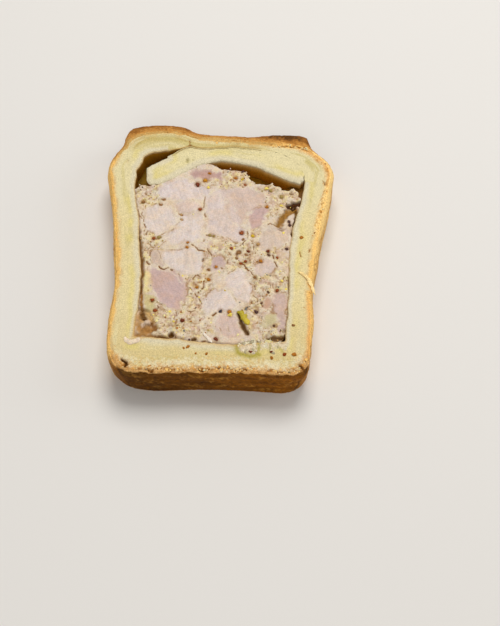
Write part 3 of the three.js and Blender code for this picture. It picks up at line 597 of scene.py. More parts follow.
class Slab:
    """A flat body between two heights, with holes: points, faces and where each point lies."""

    def __init__(self, loops, spacing, low, high, rows=6, refine=()):
        rim = np.vstack(loops)
        grid = self.refined(self.filled(loops, spacing), loops, spacing, refine)
        grid = grid[nearest(grid, rim)[0] > RIM_CLEAR * spacing]
        flat, faces = self.joined(loops, rim, grid)
        count = len(flat)
        self.faces = faces.tolist() + (faces[:, ::-1] + count).tolist()
        ends = [np.column_stack([flat, np.full(count, z)]) for z in (high, low)]
        self.points = np.vstack(ends + self.walled(loops, count, np.linspace(high, low, rows + 1)))
        edge = nearest(flat, rim)[0]
        walls = np.zeros(len(self.points) - 2 * count)
        self.side = np.concatenate([np.ones(count), -np.ones(count), walls])
        self.edge = np.concatenate([edge, edge, walls])
        self.depth = high - self.points[:, 2]
        self.flat = self.points[:, :2].copy()

    def walled(self, loops, count, heights):
        """Adds faces down each outline, and gives the rows of points between both ends."""
        rows = []
        start = 0
        made = 2 * count
        for loop in loops:
            size = len(loop)
            above = np.arange(start, start + size)
            lowest = above + count
            for height in heights[1:-1]:
                below = np.arange(made, made + size)
                rows.append(np.column_stack([loop, np.full(size, height)]))
                self.faces += band(above, below)
                above = below
                made += size
            self.faces += band(above, lowest)
            start += size
        return rows

    @staticmethod
    def refined(grid, loops, spacing, marks):
        """The points, with closer ones along some marks."""
        if not marks:
            return grid
        paths = [line(mark[2:], FINE_ALONG) for mark in marks]
        steps = (-FINE_STEP, 0, FINE_STEP)
        fine = np.vstack([path + shift for path in paths for shift in itertools.product(steps, repeat=2)])
        grid = grid[nearest(grid, fine)[0] > MARK_CLEAR * spacing]
        return np.vstack([grid, fine[Slab.within(fine, loops)]])

    @staticmethod
    def filled(loops, spacing):
        """Uneven rows of points inside the first outline and outside the others."""
        low, high = loops[0].min(0), loops[0].max(0)
        rows = np.arange(low[1], high[1], spacing * ROW_STEP)
        columns = np.arange(low[0], high[0], spacing)
        x, y = np.meshgrid(columns, rows)
        x = x + (np.arange(len(rows)) % 2)[:, None] * spacing / 2
        grid = np.column_stack([x.ravel(), y.ravel()])
        grid += rng.uniform(-UNEVEN, UNEVEN, grid.shape) * spacing
        return grid[Slab.within(grid, loops)]

    @staticmethod
    def within(xy, loops):
        """Which points lie inside the first outline and outside the others."""
        found = inside(xy, loops[0])
        for hole in loops[1:]:
            found &= ~inside(xy, hole)
        return found

    @staticmethod
    def joined(loops, rim, grid):
        """Triangles over the points, up to the outlines."""
        edges = []
        start = 0
        for loop in loops:
            ring = np.arange(start, start + len(loop))
            edges += np.column_stack([ring, np.roll(ring, -1)]).tolist()
            start += len(loop)
        flat = np.vstack([rim, grid])
        made = delaunay_2d_cdt([Vector(p) for p in flat], edges, [], 1, 1e-7)
        flat = np.array([[p.x, p.y] for p in made[0]])
        faces = np.array(made[2])
        doubtful = np.all(faces < len(rim), axis=1)
        keep = Slab.within(flat[faces[doubtful]].mean(axis=1), loops)
        good = np.ones(len(faces), bool)
        good[np.flatnonzero(doubtful)[~keep]] = False
        faces = faces[good]
        a, b, c = (flat[faces[:, k]] for k in range(3))
        turn = (b[:, 0] - a[:, 0]) * (c[:, 1] - a[:, 1]) - (b[:, 1] - a[:, 1]) * (c[:, 0] - a[:, 0])
        faces[turn < 0] = faces[turn < 0][:, ::-1]
        return flat, faces


SHARP = math.radians(50)  # edges that bend more than this show as sharp


def piece(name, points, faces, tint, finish, nodes=(), grain=1.0):
    """A mesh that rides with the slice, coloured point by point; grain is the fine speckle's share."""
    mesh = bpy.data.meshes.new(name)
    mesh.from_pydata((points * MM).tolist(), [], faces)
    mesh.shade_smooth()
    mesh.set_sharp_from_angle(angle=SHARP)
    colour = mesh.color_attributes.new("tint", "FLOAT_COLOR", "POINT")
    alpha = np.broadcast_to(grain, len(tint))
    colour.data.foreach_set("color", np.column_stack([tint, alpha]).ravel())
    mesh.materials.append(finish)
    made = bpy.data.objects.new(name, mesh)
    bpy.context.scene.collection.objects.link(made)
    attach(made, "root")
    if nodes:
        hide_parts(*nodes)


# Materials

NOISE_RANGE = (0.3, 0.7)  # the part of a noise texture's values that is used
GLOSS_SPREAD = 0.08
BUMP_HEIGHT = 0.2


def surface(name, roughness, grain, spread, bump, specular=0.5, subsurface=0.0):
    """A food surface: the mesh's own colours, with finer grain, uneven gloss and bump."""
    material = bpy.data.materials.new(name)
    material.use_nodes = True
    tree = material.node_tree
    shader = tree.nodes["Principled BSDF"]
    link = tree.links.new

    def texture(size, detail):
        node = tree.nodes.new("ShaderNodeTexNoise")
        node.inputs["Scale"].default_value = 1 / (size * MM)
        node.inputs["Detail"].default_value = detail
        link(place.outputs["Object"], node.inputs["Vector"])
        return node.outputs["Fac"]

    def ranged(value, low, high):
        node = tree.nodes.new("ShaderNodeMapRange")
        limits = zip(("From Min", "From Max", "To Min", "To Max"), (*NOISE_RANGE, low, high))
        for socket, limit in limits:
            node.inputs[socket].default_value = limit
        link(value, node.inputs["Value"])
        return node.outputs["Result"]

    place = tree.nodes.new("ShaderNodeTexCoord")
    tint = tree.nodes.new("ShaderNodeAttribute")
    tint.attribute_name = "tint"
    grained = tree.nodes.new("ShaderNodeMix")
    grained.data_type = "RGBA"
    grained.blend_type = "MULTIPLY"
    link(tint.outputs["Alpha"], grained.inputs["Factor"])
    link(tint.outputs["Color"], grained.inputs["A"])
    link(ranged(texture(grain, 3), 1 - spread, 1 + spread), grained.inputs["B"])
    link(grained.outputs["Result"], shader.inputs["Base Color"])
    gloss = ranged(texture(4 * grain, 2), roughness - GLOSS_SPREAD, roughness + GLOSS_SPREAD)
    link(gloss, shader.inputs["Roughness"])
    raised = tree.nodes.new("ShaderNodeBump")
    raised.inputs["Strength"].default_value = bump
    raised.inputs["Distance"].default_value = BUMP_HEIGHT * MM
    link(texture(0.8 * grain, 4), raised.inputs["Height"])
    link(raised.outputs["Normal"], shader.inputs["Normal"])
    shader.inputs["Specular IOR Level"].default_value = specular
    shader.inputs["Subsurface Weight"].default_value = subsurface
    shader.inputs["Subsurface Radius"].default_value = (1.0, 0.6, 0.35)
    shader.inputs["Subsurface Scale"].default_value = MM
    return material


PASTRY_FINISH = surface("pastry", roughness=0.8, grain=0.5, spread=0.28, bump=0.45, specular=0.1)
FILLING_FINISH = surface(
    "filling", roughness=0.5, grain=0.45, spread=0.16, bump=0.4, specular=0.08, subsurface=0.08
)
JELLY_FINISH = surface("jelly", roughness=0.45, grain=1.5, spread=0.12, bump=0.15, specular=0.06)
SEED_FINISH = surface("seed", roughness=0.45, grain=0.3, spread=0.15, bump=0.3, specular=0.2)


# The pastry crust: rings round the slice, each a closed outline of the crust's thickness

CUT_AT = 9  # height at which the outlines of the crust's hole and the lid are read
COLUMNS = 0.45  # spacing round the slice
TOP_ROWS = 36
SKIN_ROWS = 42
BOTTOM_ROWS = 12
WALL_ROWS = 14
CUT, SKIN, UNDER, WALL = range(4)  # the crust's four sides

# The base's own skin ends at a seam near each lower corner, which slants inwards
BASE_MIDDLE = -14
BASE_HALF = 35.2
BASE_SLANT = 0.24

# Cracks and holes in the pastry's cut face, painted dark as shade in them: width, darkness, points
CRUST_CRACKS = [
    (0.9, 1.3, (-47.3, -29.2), (-46.5, -30.4)),
    (1.25, 1.3, (-46.4, -30.4), (-45.8, -31.3)),
    (0.7, 0.8, (-38.4, -33.2), (-37, -33.6)),
    (1.0, 0.9, (-36.8, -34), (-35.4, -34.2)),
    (0.8, 0.7, (-31, -33.4), (-29, -33.8)),
    (0.8, 0.8, (-18.6, -33.8), (-17.2, -33.6)),
    (0.7, 0.7, (-16.4, -33.3), (-14.8, -33.4)),
    (0.7, 0.6, (-3, -33.6), (-1.4, -33.8)),
    (0.9, 0.9, (-49, -32.5), (-47.8, -33.8), (-46.5, -35)),
    (1.0, 0.9, (18.6, -31.4), (19.8, -33.6)),
    (0.8, 0.8, (20.6, -32.4), (21.2, -34)),
    (0.8, 0.3, (-50.5, 62.4), (-50.5, 61.2)),
    (0.8, 0.5, (19.5, 17.4), (19.5, 15.8)),
    (0.8, 0.5, (23.1, 18.9), (23.1, 17.6)),
    (0.8, 0.4, (23, 12), (22.8, 10.9)),
    (0.8, 0.6, (31.2, 47), (31.6, 44.6), (31, 42)),
    (0.7, 0.5, (29.4, 52), (30.4, 49.6)),
    (1.0, 0.9, (-25, 70.2), (-24.6, 69.2)),
    (0.7, 0.5, (-24.8, 70), (-25.1, 71.5), (-25.4, 72.8)),
    (0.7, 0.5, (8.8, 70.6), (10.4, 69.8), (12.5, 69.4), (15, 69.6)),
    (0.9, 0.8, (16.2, 69.6), (18, 69.2), (20.8, 69), (23.4, 68.4)),
]
LID_CRACKS = [(1.2, 0.9, (-25.8, 62.7), (-25.8, 61.7)), (0.8, 0.5, (-23.6, 62.6), (-23.5, 62.2))]
# Forcemeat that the knife dragged onto the base, and green streaks in it
SPILL = [(-5, -20.6), (-4.2, -24.2), (-2.8, -26.6), (0.4, -27), (3.2, -26), (4.4, -23.8), (6.4, -24),
         (7.2, -26.6), (8.6, -26.8), (9, -24.4), (11, -24.2), (12.8, -25.8), (13.4, -24.8), (13.2, -22.6),
         (12, -21.9), (3, -21.2)]
SMEARS = [
    (2.2, 1, (-5.2, -23.6), (-4.4, -26.6), (0, -28), (3.2, -27.2)),
    (1.6, 0.9, (2.6, -26.4), (3.4, -24.4), (2.8, -22.6)),
    (1.0, 0.8, (7.4, -26.4), (7.6, -23.6)),
    (1.0, 0.6, (10.4, -23.8), (12, -26)),
]
SPILL_LOOP = outline(SPILL, soften=0.5)
# Waves that bend the marks on the pastry: size, reach and seed
CRACK_WAVES = ((1.4, 0.5, 91), (0.6, 0.25, 95))
SPILL_WAVES = ((1.6, 0.5, 67),)
SMEAR_WAVES = ((1.2, 0.3, 68),)
RIM_ROUND = 1.2  # width of the soft rounding along the cut edge
HOLE_ROUND = 1.1  # and along the edge of the hole that the filling lies in
SEAM_HALF = 0.27  # half width of the seam between lid and crust
SEAM_ROUND = 0.9  # width of the lid's rounding along it
WIDER_LEFT = 0.55  # the crumbly skin stands out a little at the left and less at the right
SLIMMER_RIGHT = 0.3
RIM_STEP = 0.5  # spacing of the points along the outer cut edge
HOLE_STEP = 0.3  # and along the hole's edge
RIM_LINE = even(section("pastry_crust", SKIN_LEVELS[-1])[0], RIM_STEP, soften=0.4)


def radii(loop, angles):
    """How far an outline lies from the slice's middle, at some angles."""
    turn = np.arctan2(loop[:, 1], loop[:, 0])
    order = np.argsort(turn)
    return np.interp(angles, turn[order], np.hypot(*loop[order].T), period=2 * np.pi)


def sealed_share(xy):
    """1 where the lid is baked onto the crust with no seam, at the upper right."""
    x, y = (xy - MEASURED).T
    return ease(1, 9, x) * ease(51, 52.2, y)


def seam_share(xy):
    """How clearly the seam between lid and crust shows, along the lid's upper edge."""
    x, y = (xy - MEASURED).T
    return ease(-34, -30, x) * (0.75 + 0.25 * ease(6, -18, x)) * ease(12, 6, x) * ease(60, 63, y)


def slope_rows(skin, heights):
    """The skin from the cut edge down, by even steps along its slope: radius, height and run."""
    down = skin[::-1]
    fall = heights[::-1]
    steps = np.hypot(np.diff(down, axis=0), np.diff(fall)[:, None])
    length = np.vstack([np.zeros(skin.shape[1]), np.cumsum(steps, axis=0)])
    run = np.linspace(0, 1, SKIN_ROWS + 1)[:, None] * length[-1]
    radius = np.empty_like(run)
    height = np.empty_like(run)
    for i in range(skin.shape[1]):
        radius[:, i] = np.interp(run[:, i], length[:, i], down[:, i])
        height[:, i] = np.interp(run[:, i], length[:, i], fall)
    return radius[:-1], height[:-1], run[:-1]


def crust_piece():
    """The crust, in rings from the cut face over the skin and the underside to the hole's wall."""
    levels = [even(section("pastry_crust", z)[0], OUTLINE_STEP, soften=0.4) for z in SKIN_LEVELS]
    round_line = even(levels[len(levels) // 2], COLUMNS, soften=0)
    angles = np.arctan2(round_line[:, 1], round_line[:, 0])
    skin = np.stack([radii(loop, angles) for loop in levels])
    skin += WIDER_LEFT * ease(-0.4, -0.7, np.cos(angles)) - SLIMMER_RIGHT * ease(0.5, 0.8, np.cos(angles))
    hole = even(section("pastry_crust", CUT_AT)[1], HOLE_STEP, soften=0.35)
    inner = radii(warped(hole), angles)
    slope, fall, run = slope_rows(skin, np.array((0.0, *SKIN_LEVELS[1:-1], CUT_FACE)))

    count = len(angles)
    flat_rows = (TOP_ROWS, BOTTOM_ROWS, WALL_ROWS)
    top, bottom, wall = (np.linspace(0, 1, rows + 1)[:-1, None] for rows in flat_rows)
    low = skin[0]
    radius = np.vstack([
        inner + top * (skin[-1] - inner),
        slope,
        low + bottom * (inner - low),
        np.repeat(inner[None], WALL_ROWS, axis=0),
    ])
    height = np.vstack([
        np.full((TOP_ROWS, count), CUT_FACE),
        fall,
        np.zeros((BOTTOM_ROWS, count)),
        np.repeat(CUT_FACE * wall, count, axis=1),
    ])
    slid = np.zeros_like(radius)
    slid[TOP_ROWS : TOP_ROWS + SKIN_ROWS] = run
    sides = np.repeat((CUT, SKIN, UNDER, WALL), (TOP_ROWS, SKIN_ROWS, BOTTOM_ROWS, WALL_ROWS))
    side = np.repeat(sides[:, None], count, axis=1)
    from_skin = np.clip(np.where(side == UNDER, low, skin[-1]) - radius, 0, None)

    rings = np.arange(radius.size).reshape(radius.shape)
    faces = []
    for here, there in zip(rings, np.roll(rings, -1, axis=0)):
        faces += band(here, there)
    xy = np.stack([radius * np.cos(angles), radius * np.sin(angles)], axis=-1).reshape(-1, 2)
    points = np.column_stack([xy, height.ravel()])
    fields = (from_skin, radius - inner, slid)
    points, tint, grain = crust_look(points, side.ravel(), *(f.ravel() for f in fields))
    piece("crust", points, faces, tint, PASTRY_FINISH, ["pastry_crust"], grain)


def crumb_tone(xy, from_skin, from_open, streak, patch):
    """Colour of the pastry's inside: cream with olive and yolk streaks, damp along the filling."""
    x, y = (xy - MEASURED).T
    fold = ease(66, 69.5, y) * ease(10, 5, x)
    shaded = np.exp(-(((from_skin - 3.4 - 0.6 * noise(xy, 5, 45)) / 1.4) ** 2))
    veined = 0.6 + 0.3 * ease(4, 16, x) * ease(54, 60, y)
    yolk = np.exp(-(((from_open - 3.8 - 1.3 * noise(xy, 7, 51)) / 1.5) ** 2))
    low = ease(-17, -23, y) * ease(0.1, 0.6, noise(xy, np.array([8, 3]), 55))
    damp = 1 + 0.25 * ease(-16, -21, y)
    soaked = from_open + 0.5 * streak + 0.4 * patch
    return painted(
        plain(CREAM, len(xy)),
        (LOW_CREAM, ease(-2, -26, y)),
        (PALE_CREAM, ease(30, 50, y)),
        (FOLD_CREAM, 0.9 * fold),
        (FOLD_SHADE, (0.85 - 0.55 * ease(-26, -22, x)) * fold * shaded),
        (OLIVE, veined * ease(0.05, 0.7, streak + 0.4 * patch)),
        (PALE_CREAM * 1.04, 0.6 * ease(0.05, 0.6, -streak - 0.4 * patch)),
        (YOLK, 0.65 * yolk * ease(-0.4, 0.5, noise(xy, np.array([9, 3.5]), 53))),
        (YOLK * 0.97, 0.85 * low * ease(1.5, 3, from_open) * ease(7.5, 5, from_open)),
        (DAMP, 0.95 * ease(3.4 * damp, 1.2 * damp, soaked)),
    )


def rim_gold(x, y, base, crown):
    """Colour of the golden rim at each place, with painted light on the right."""
    orange = np.maximum(ease(48, 56, y) * ease(14, 20, x), ease(0, -8, y) * ease(8, 14, x))
    return painted(
        plain(GOLD, len(x)),
        (GOLD_PAINTED_LIT, ease(22, 30, x) * ease(8, 24, y)),
        (ORANGE_GOLD, orange),
        (BASE_GOLD, base),
        (CROWN_GOLD, crown),
    )


def rim_width(x, y, base, crown, flank):
    """How much wider than usual the golden rim is."""
    wide = 1.6 * base + ease(14, 20, x) * (0.1 + 0.7 * ease(2, -6, y)) + 0.7 * flank
    wide = wide - 0.4 * ease(-38, -44, x) * (1 - base)
    return np.maximum(wide - crown * (0.6 + 0.5 * ease(-8, -20, x)), -1.1)


def crumb_face(xy, from_skin, from_open):
    """Colour, relief and grain of the pastry's cut face."""
    x, y = (xy - MEASURED).T
    deep, place = nearest(xy, RIM_LINE)
    run = place * RIM_STEP
    layers = noise(np.column_stack([deep / 0.8, run / 7]), 1, 41)
    bands = noise(np.column_stack([deep / 2, run / 18]), 1, 42)
    streak = (0.5 * layers + 0.7 * bands) * (0.5 + 0.5 * ease(30, 52, y))
    patch = rough(xy, 6, 43)
    grain = rough(xy, 0.8, 47, 2)
    speckle = grain + 0.6 * noise(xy, 0.6, 59)
    dash = ease(0.05, 0.4, noise(np.column_stack([deep / 0.6, run / 2.4]), 1, 60) + 0.5 * speckle)

    # The rim is crumbly along the base and the right flank, and plain along the crown
    base = ease(-24, -29, y)
    crown = ease(62, 67, y) * ease(14, 6, x)
    flank = ease(19, 26, x) * ease(24, 36, y)
    broken = np.maximum(base, 0.75 * flank)
    crumbly = (0.3 + 0.7 * broken) * ease(3.6 + 1.6 * base, 0.8, from_skin)
    ragged = np.exp(-(((from_skin - 1.5 - 0.7 * noise(xy, 2.5, 62)) / 0.9) ** 2))
    flaked = mix(plain(BROWN, len(xy)), TOAST, flank)
    chalky = base * ease(6, 4, from_skin) * ease(-0.5, 0.3, noise(xy, np.array([5, 1.6]), 58))
    flecked = base * ease(8.5, 5.5, from_skin)
    wide = rim_width(x, y, base, crown, flank)
    edge = from_skin + 0.6 * grain + 0.6 * noise(xy, 3, 57)
    spilt = ease(-1.0, 0.8, depth_inside(warped(xy, SPILL_WAVES), SPILL_LOOP))
    tint = painted(
        crumb_tone(xy, from_skin, from_open, streak, patch),
        (FLAKE, 0.75 * chalky),
        (TOAST, 0.35 * flecked * ease(0.1, 0.6, speckle)),
        (FLAKE * 1.1, 0.6 * flecked * ease(0.1, 0.6, -speckle)),
        (PEACH, 0.6 * (1 - 0.7 * crown) * ease(3 + wide, 1, edge)),
        (rim_gold(x, y, base, crown), ease(1.9 + wide, 0.5 + 0.9 * base, edge)),
        (TOAST, 0.75 * crumbly * ease(0, 0.5, speckle)),
        (FLAKE, 0.8 * crumbly * ease(0.05, 0.5, -speckle) * ease(0.6, 2.4, from_skin)),
        (flaked, 0.9 * (0.25 + 0.75 * broken) * ragged * dash),
        (FARCE, 0.7 * spilt),
        (SMEAR, 0.85 * strokes(warped(xy, SMEAR_WAVES), SMEARS)),
    )
    relief = (0.05 * layers + 0.06 * grain + 0.1 * patch) * (1 - sealed_share(xy))
    loose = crumbly * 0.45 * rough(xy, 1.3, 61) - 0.45 * ragged * base * dash
    relief += loose + spilt * (0.2 + 0.25 * rough(xy, 1.6, 69))
    return tint * (1 + 0.1 * grain)[:, None], relief, 0.65 + 0.35 * np.maximum(crumbly, spilt)


def base_skin(points, x, slid, mottle, speckle):
    """Colour of the base's own skin: dark, streaked and floury, with painted shade darker to the left."""
    flecks = noise(points, 0.7, 85)
    streaks = 0.6 * noise(np.column_stack([x / 6, slid / 1.6]), 1, 78) + 0.4 * mottle + 0.5 * speckle
    flour = noise(np.column_stack([x / 5, slid / 1.6]), 1, 79) + speckle + 0.8 * flecks
    tint = painted(
        plain(BASE_BROWN, len(x)),
        (BASE_DARK, ease(-0.4, 0.7, streaks)),
        (FLOUR, 0.4 * ease(0.3, 1.4, flour + 0.4 * ease(-34, -44, x))),
    )
    tint = tint * (1 + 0.5 * speckle + 0.3 * flecks)[:, None]
    # painted shade: darker to the left, lighter to the right where the light falls
    return tint * (0.7 + 0.7 * np.clip((x + 42) / 52, 0, 1))[:, None]


def skin_look(points, slid, mottle):
    """Colour and relief of the skin: golden on the sides with painted light on the right, brown on top,
    darkest at the base.
    """
    x, y = (points[:, :2] - MEASURED).T
    speckle = rough(points, 0.9, 75, 2)
    top = ease(60, 69, y)
    bump = np.exp(-(((x - 16) / 8) ** 2)) * top
    lump = np.exp(-(((x + 47) / 3) ** 2)) * top
    reach = slid + 0.6 * mottle + 0.6 * speckle
    start = ease(-0.5, 6, reach) * (1 - top) + ease(-0.4, 2.6, reach) * top
    baked = (0.3 + 0.35 * top + 0.1 * bump + 0.3 * lump) * start + 0.25 * mottle + 0.3 * speckle
    baked += 0.25 * top * ease(3, 6.5, reach) + 0.35 * bump * ease(2.5, 6, reach)
    # fine splits in the skin, dented and painted brown as shade in them
    shaded_split = ease(0.12, 0, np.abs(noise(points, 2.4, 87))) * ease(0, 0.5, noise(points, 6, 89))
    shaded_split = shaded_split * ease(0.3, 1, slid)

    # The base's skin ends at a dark seam near each corner, with a brown wedge beyond it
    base = ease(-26, -32, y)
    turned = BASE_HALF - np.abs(x - BASE_MIDDLE) - BASE_SLANT * slid + 0.6 * noise(points, 3, 77)
    under = base * ease(-0.2, 0.6, slid + 0.5 * mottle + 0.7 * speckle) * ease(-0.5, 0.5, turned)
    corner = base * np.exp(-((turned / 0.5) ** 2)) * ease(0.3, 1.2, slid)
    wedge = base * ease(0.6, -0.6, turned)
    left = ease(-20, -30, x)
    tint = painted(
        plain(GOLD, len(x)),
        (GOLD_PAINTED_LIT, ease(22, 30, x)),
        (CROWN_GOLD * 0.9, top * ease(14, 6, x)),
        (TOAST, ease(0.1, 0.6, baked)),
        (BROWN, ease(0.6, 1.0, baked)),
        (DARK_BROWN, ease(1.0, 1.4, baked)),
        (BROWN, 0.6 * shaded_split * (1 - top)),
        (TOAST, 0.8 * base * ease(0.5, 3, reach)),
        # the left wedge is painted darker, as shade
        (BROWN, (0.8 + 0.2 * left) * wedge * ease(0.5, 2.4, reach)),
        (DARK_BROWN, 0.6 * left * wedge * ease(1.5, 6, reach)),
        (BASE_GOLD, base * ease(1.6, 0.4, slid)),
        (base_skin(points, x, slid, mottle, speckle), under),
        (DARK_BROWN * 0.7, corner),
    )
    flaky = (0.25 + 0.15 * ease(4, 1, slid)) * rough(points, 2.2, 81) + 0.15 * speckle - 0.25 * shaded_split
    flaky += 0.6 * base * ease(2.5, 0.5, slid) * rough(points, 1.4, 83) - 0.5 * corner
    return tint, flaky


def crust_look(points, side, from_skin, from_hole, slid):
    """The crust's points moved by its relief, their colours and grain."""
    points = points.copy()
    xy = points[:, :2].copy()
    x, y = (xy - MEASURED).T
    upper, skin, lower, wall = (side == k for k in (CUT, SKIN, UNDER, WALL))
    sealed = sealed_share(xy)
    seam = seam_share(xy)
    tint, relief, grain = crumb_face(xy, from_skin, from_hole + 6 * np.maximum(sealed, seam > 0))
    crack = strokes(warped(xy, CRACK_WAVES), CRUST_CRACKS)
    # Along the hole's edge the cut face browns: juice stain and painted shade, widest at the base and by
    # the lower left pocket
    stain_and_shade_reach = 0.8 + 0.9 * ease(-14, -20, y) * (1 + noise(xy, 3, 63))
    stain_and_shade_reach = stain_and_shade_reach + 1.2 * ease(-38, -42, x) * ease(-6, -10, y)
    stain_and_shade_strength = 0.6 + 0.2 * ease(-24, -30, x) * ease(-8, -14, y)
    tint = painted(
        tint,
        (SEAM, seam * np.exp(-((from_hole / SEAM_HALF) ** 2))),
        (WALL_DAMP_AND_SHADE, stain_and_shade_strength * ease(stain_and_shade_reach, 0, from_hole) * (1 - sealed)),
        # cracks and holes painted brown to dark brown, as shade in them
        (BROWN, ease(0.15, 0.5, crack) * upper),
        (DARK_BROWN, ease(0.5, 0.9, crack) * upper),
    )
    rounded = np.clip(1 - from_hole / HOLE_ROUND, 0, 1) ** 2 * (1 - sealed) * (1 - 0.75 * seam)
    worn = np.clip(1 - (from_skin + slid) / RIM_ROUND, 0, 1) ** 2
    drop = relief - 0.5 * rounded - 1.2 * crack - worn * (0.5 + 0.4 * rough(xy, 1.2, 66))
    points[upper | skin, 2] += (drop * np.where(skin, worn, 1))[upper | skin]
    points[lower, 2] += (np.abs(relief) + 0.35 * rounded)[lower]
    mottle = rough(points, 5, 71)
    shade, flaky = skin_look(points, slid, mottle)
    tint[skin] = shade[skin]
    out = xy / np.linalg.norm(xy, axis=1)[:, None]
    points[skin, :2] += (out * flaky[:, None])[skin]
    depth = CUT_FACE - points[:, 2]
    tint[wall] = wet_and_shaded_wall(xy, depth + 0.6 * mottle)[wall]
    points[wall, 2] -= (0.5 * rounded * ease(3, 0, depth))[wall]
    return points, tint, np.where(skin, 1.0, grain)


def wet_and_shaded_wall(xy, depth):
    """Colour of pastry that faces a hollow, by its depth below the cut face: damp and jelly-stained, with
    painted shade that deepens downwards.
    """
    x, y = (xy - MEASURED).T
    # in the left hollow the painted shade starts higher and goes darker
    soaked = depth + 3 * ease(-22, -27, x) * ease(40, 46, y)
    return painted(
        plain(DAMP, len(depth)),
        (WALL_DAMP_AND_SHADE, ease(0.3, 2.2, soaked)),
        (WALL_DEEP_STAIN_AND_SHADE, ease(1.6, 4.5, soaked)),
        (WALL_DEEP_STAIN_AND_SHADE * 0.85, ease(3.5, 6.5, soaked) * ease(-22, -27, x)),
    )


# The lid: baked onto the crust at the right, free at the left

LID_ROWS = 16
LID_WELD = 1.0  # how far it reaches into the crust where no seam shows
SEAM_CLOSE = 0.5  # how far it reaches towards the crust where a seam shows
FAR_IN = 20.0  # the lid lies this far from the skin, so it has none of the rim's gold


def grown(loop, distance):
    """An anticlockwise outline moved outwards by a distance for each point."""
    along = np.roll(loop, -1, axis=0) - np.roll(loop, 1, axis=0)
    along /= np.linalg.norm(along, axis=1)[:, None]
    outwards = np.column_stack([along[:, 1], -along[:, 0]])
    return loop + outwards * np.broadcast_to(distance, len(loop))[:, None]


def lid_piece():
    """The lid, which reaches into the crust where the two are baked together."""
    loop = warped(even(section("pastry_lid", CUT_AT)[0], OUTLINE_STEP, soften=0.5))
    facing = grown(loop, 1) - loop
    welded = sealed_share(loop + 2 * facing) * ease(-0.2, 0.3, facing[:, 0] + facing[:, 1])
    seamed = ease(0.2, 0.6, facing[:, 1]) * (seam_share(loop) > 0) * (1 - welded)
    open_edge = loop[(welded < 0.5) & (seamed < 0.5)]
    seam_edge = loop[seamed > 0.5]
    loop = grown(loop, LID_WELD * welded + SEAM_CLOSE * seamed)
    slab = Slab([loop], OUTLINE_STEP, 0, CUT_FACE, rows=LID_ROWS)
    xy = slab.flat
    from_open = nearest(xy, open_edge)[0]
    from_seam = nearest(xy, seam_edge)[0]
    tint, relief, grain = crumb_face(xy, np.full(len(xy), FAR_IN), from_open)
    rounded = np.clip(1 - from_open / HOLE_ROUND, 0, 1) ** 2
    rounded = rounded + 0.2 * np.clip(1 - from_seam / SEAM_ROUND, 0, 1) ** 2
    hidden = ease(0.3, 0.1, slab.edge) * ease(2, 4, from_open) * ease(0.5, 1, from_seam)
    crack = strokes(xy, LID_CRACKS)
    points = slab.points
    up = slab.side > 0
    down = slab.side < 0
    points[up, 2] += (relief - 0.5 * rounded - 0.06 * hidden - 0.6 * crack)[up]
    points[down, 2] += (np.abs(relief) + 0.4 * rounded)[down]
    tint = mix(tint, SEAM, seam_share(xy) * np.exp(-((from_seam / SEAM_HALF) ** 2)))
    # the lid's cracks are sunk and painted dark olive, as shade in them
    tint = mix(tint, OLIVE * 0.6, crack * up)
    wall = slab.side == 0
    tint[wall] = wet_and_shaded_wall(xy, slab.depth + 0.6 * rough(points, 4, 91))[wall]
    piece("lid", points, slab.faces, tint, PASTRY_FINISH, ["pastry_lid"], grain)


# The filling: forcemeat with chunks of meat. Both take their looks from one field of places.

AREA_LOOPS = [outline(area[1:], soften=0.6) for area in AREAS]
GAP_FILL_REACH = 2.0  # how far the filling's browned edge reaches into the gap to the crust
GAP_FILL_DEPTH = 1.1  # how far that edge lies below the filling's face
# Waves that bend creases and chunks: size, reach and seed
CREASE_WAVES = ((1.2, 0.3, 119),)
CHUNK_WAVES = ((2.4, 0.45, 121), (0.9, 0.2, 127))


def coarse_share(xy):
    """How coarse the forcemeat is, from 0 to 1."""
    seen = xy - MEASURED
    share = np.zeros(len(xy))
    for x, y, half_x, half_y in COARSE:
        away = np.hypot((seen[:, 0] - x) / half_x, (seen[:, 1] - y) / half_y)
        share = np.maximum(share, ease(1.25, 0.8, away + 0.25 * noise(xy, 3, 99)))
    return 0.25 + 0.75 * share


def forcemeat_look(xy, coarse):
    """Colour and relief of the forcemeat between the chunks, with painted shade in its hollows, creases and
    pores.
    """
    lumps = rough(xy, 1.25, 105)
    fine = rough(xy, 0.7, 107, 2)
    crease = ease(0.12, 0.02, np.abs(noise(warped(xy, CREASE_WAVES), 1.6, 115)))
    crease = crease * ease(-0.15, 0.4, noise(xy, 2.6, 117))
    pore = ease(0.55, 0.8, noise(xy, 1.0, 118))
    tint = painted(
        plain(SMOOTH_FARCE, len(xy)),
        (FARCE, coarse),
        (GREY_OLIVE, 0.6 * coarse * ease(0.2, 0.65, noise(xy, 1.3, 111))),
        (ROSY, 0.75 * coarse * ease(0.1, 0.55, noise(xy, 1.9, 112))),
        (YELLOWISH, 0.8 * coarse * ease(0.2, 0.6, noise(xy, 1.2, 113))),
        # tan in the hollows between the lumps is painted shade
        (TAN, 0.65 * coarse * ease(0, -0.5, lumps + 0.5 * fine)),
        (CREAMY, 0.55 * coarse * ease(0.05, 0.5, lumps + 0.5 * fine)),
        # creases and pores painted as shade
        (CREVICE_SHADE, coarse * (0.6 * crease + 0.6 * pore)),
    )
    relief = coarse * (0.24 * lumps + 0.12 * fine - 0.28 * crease)
    return tint, relief


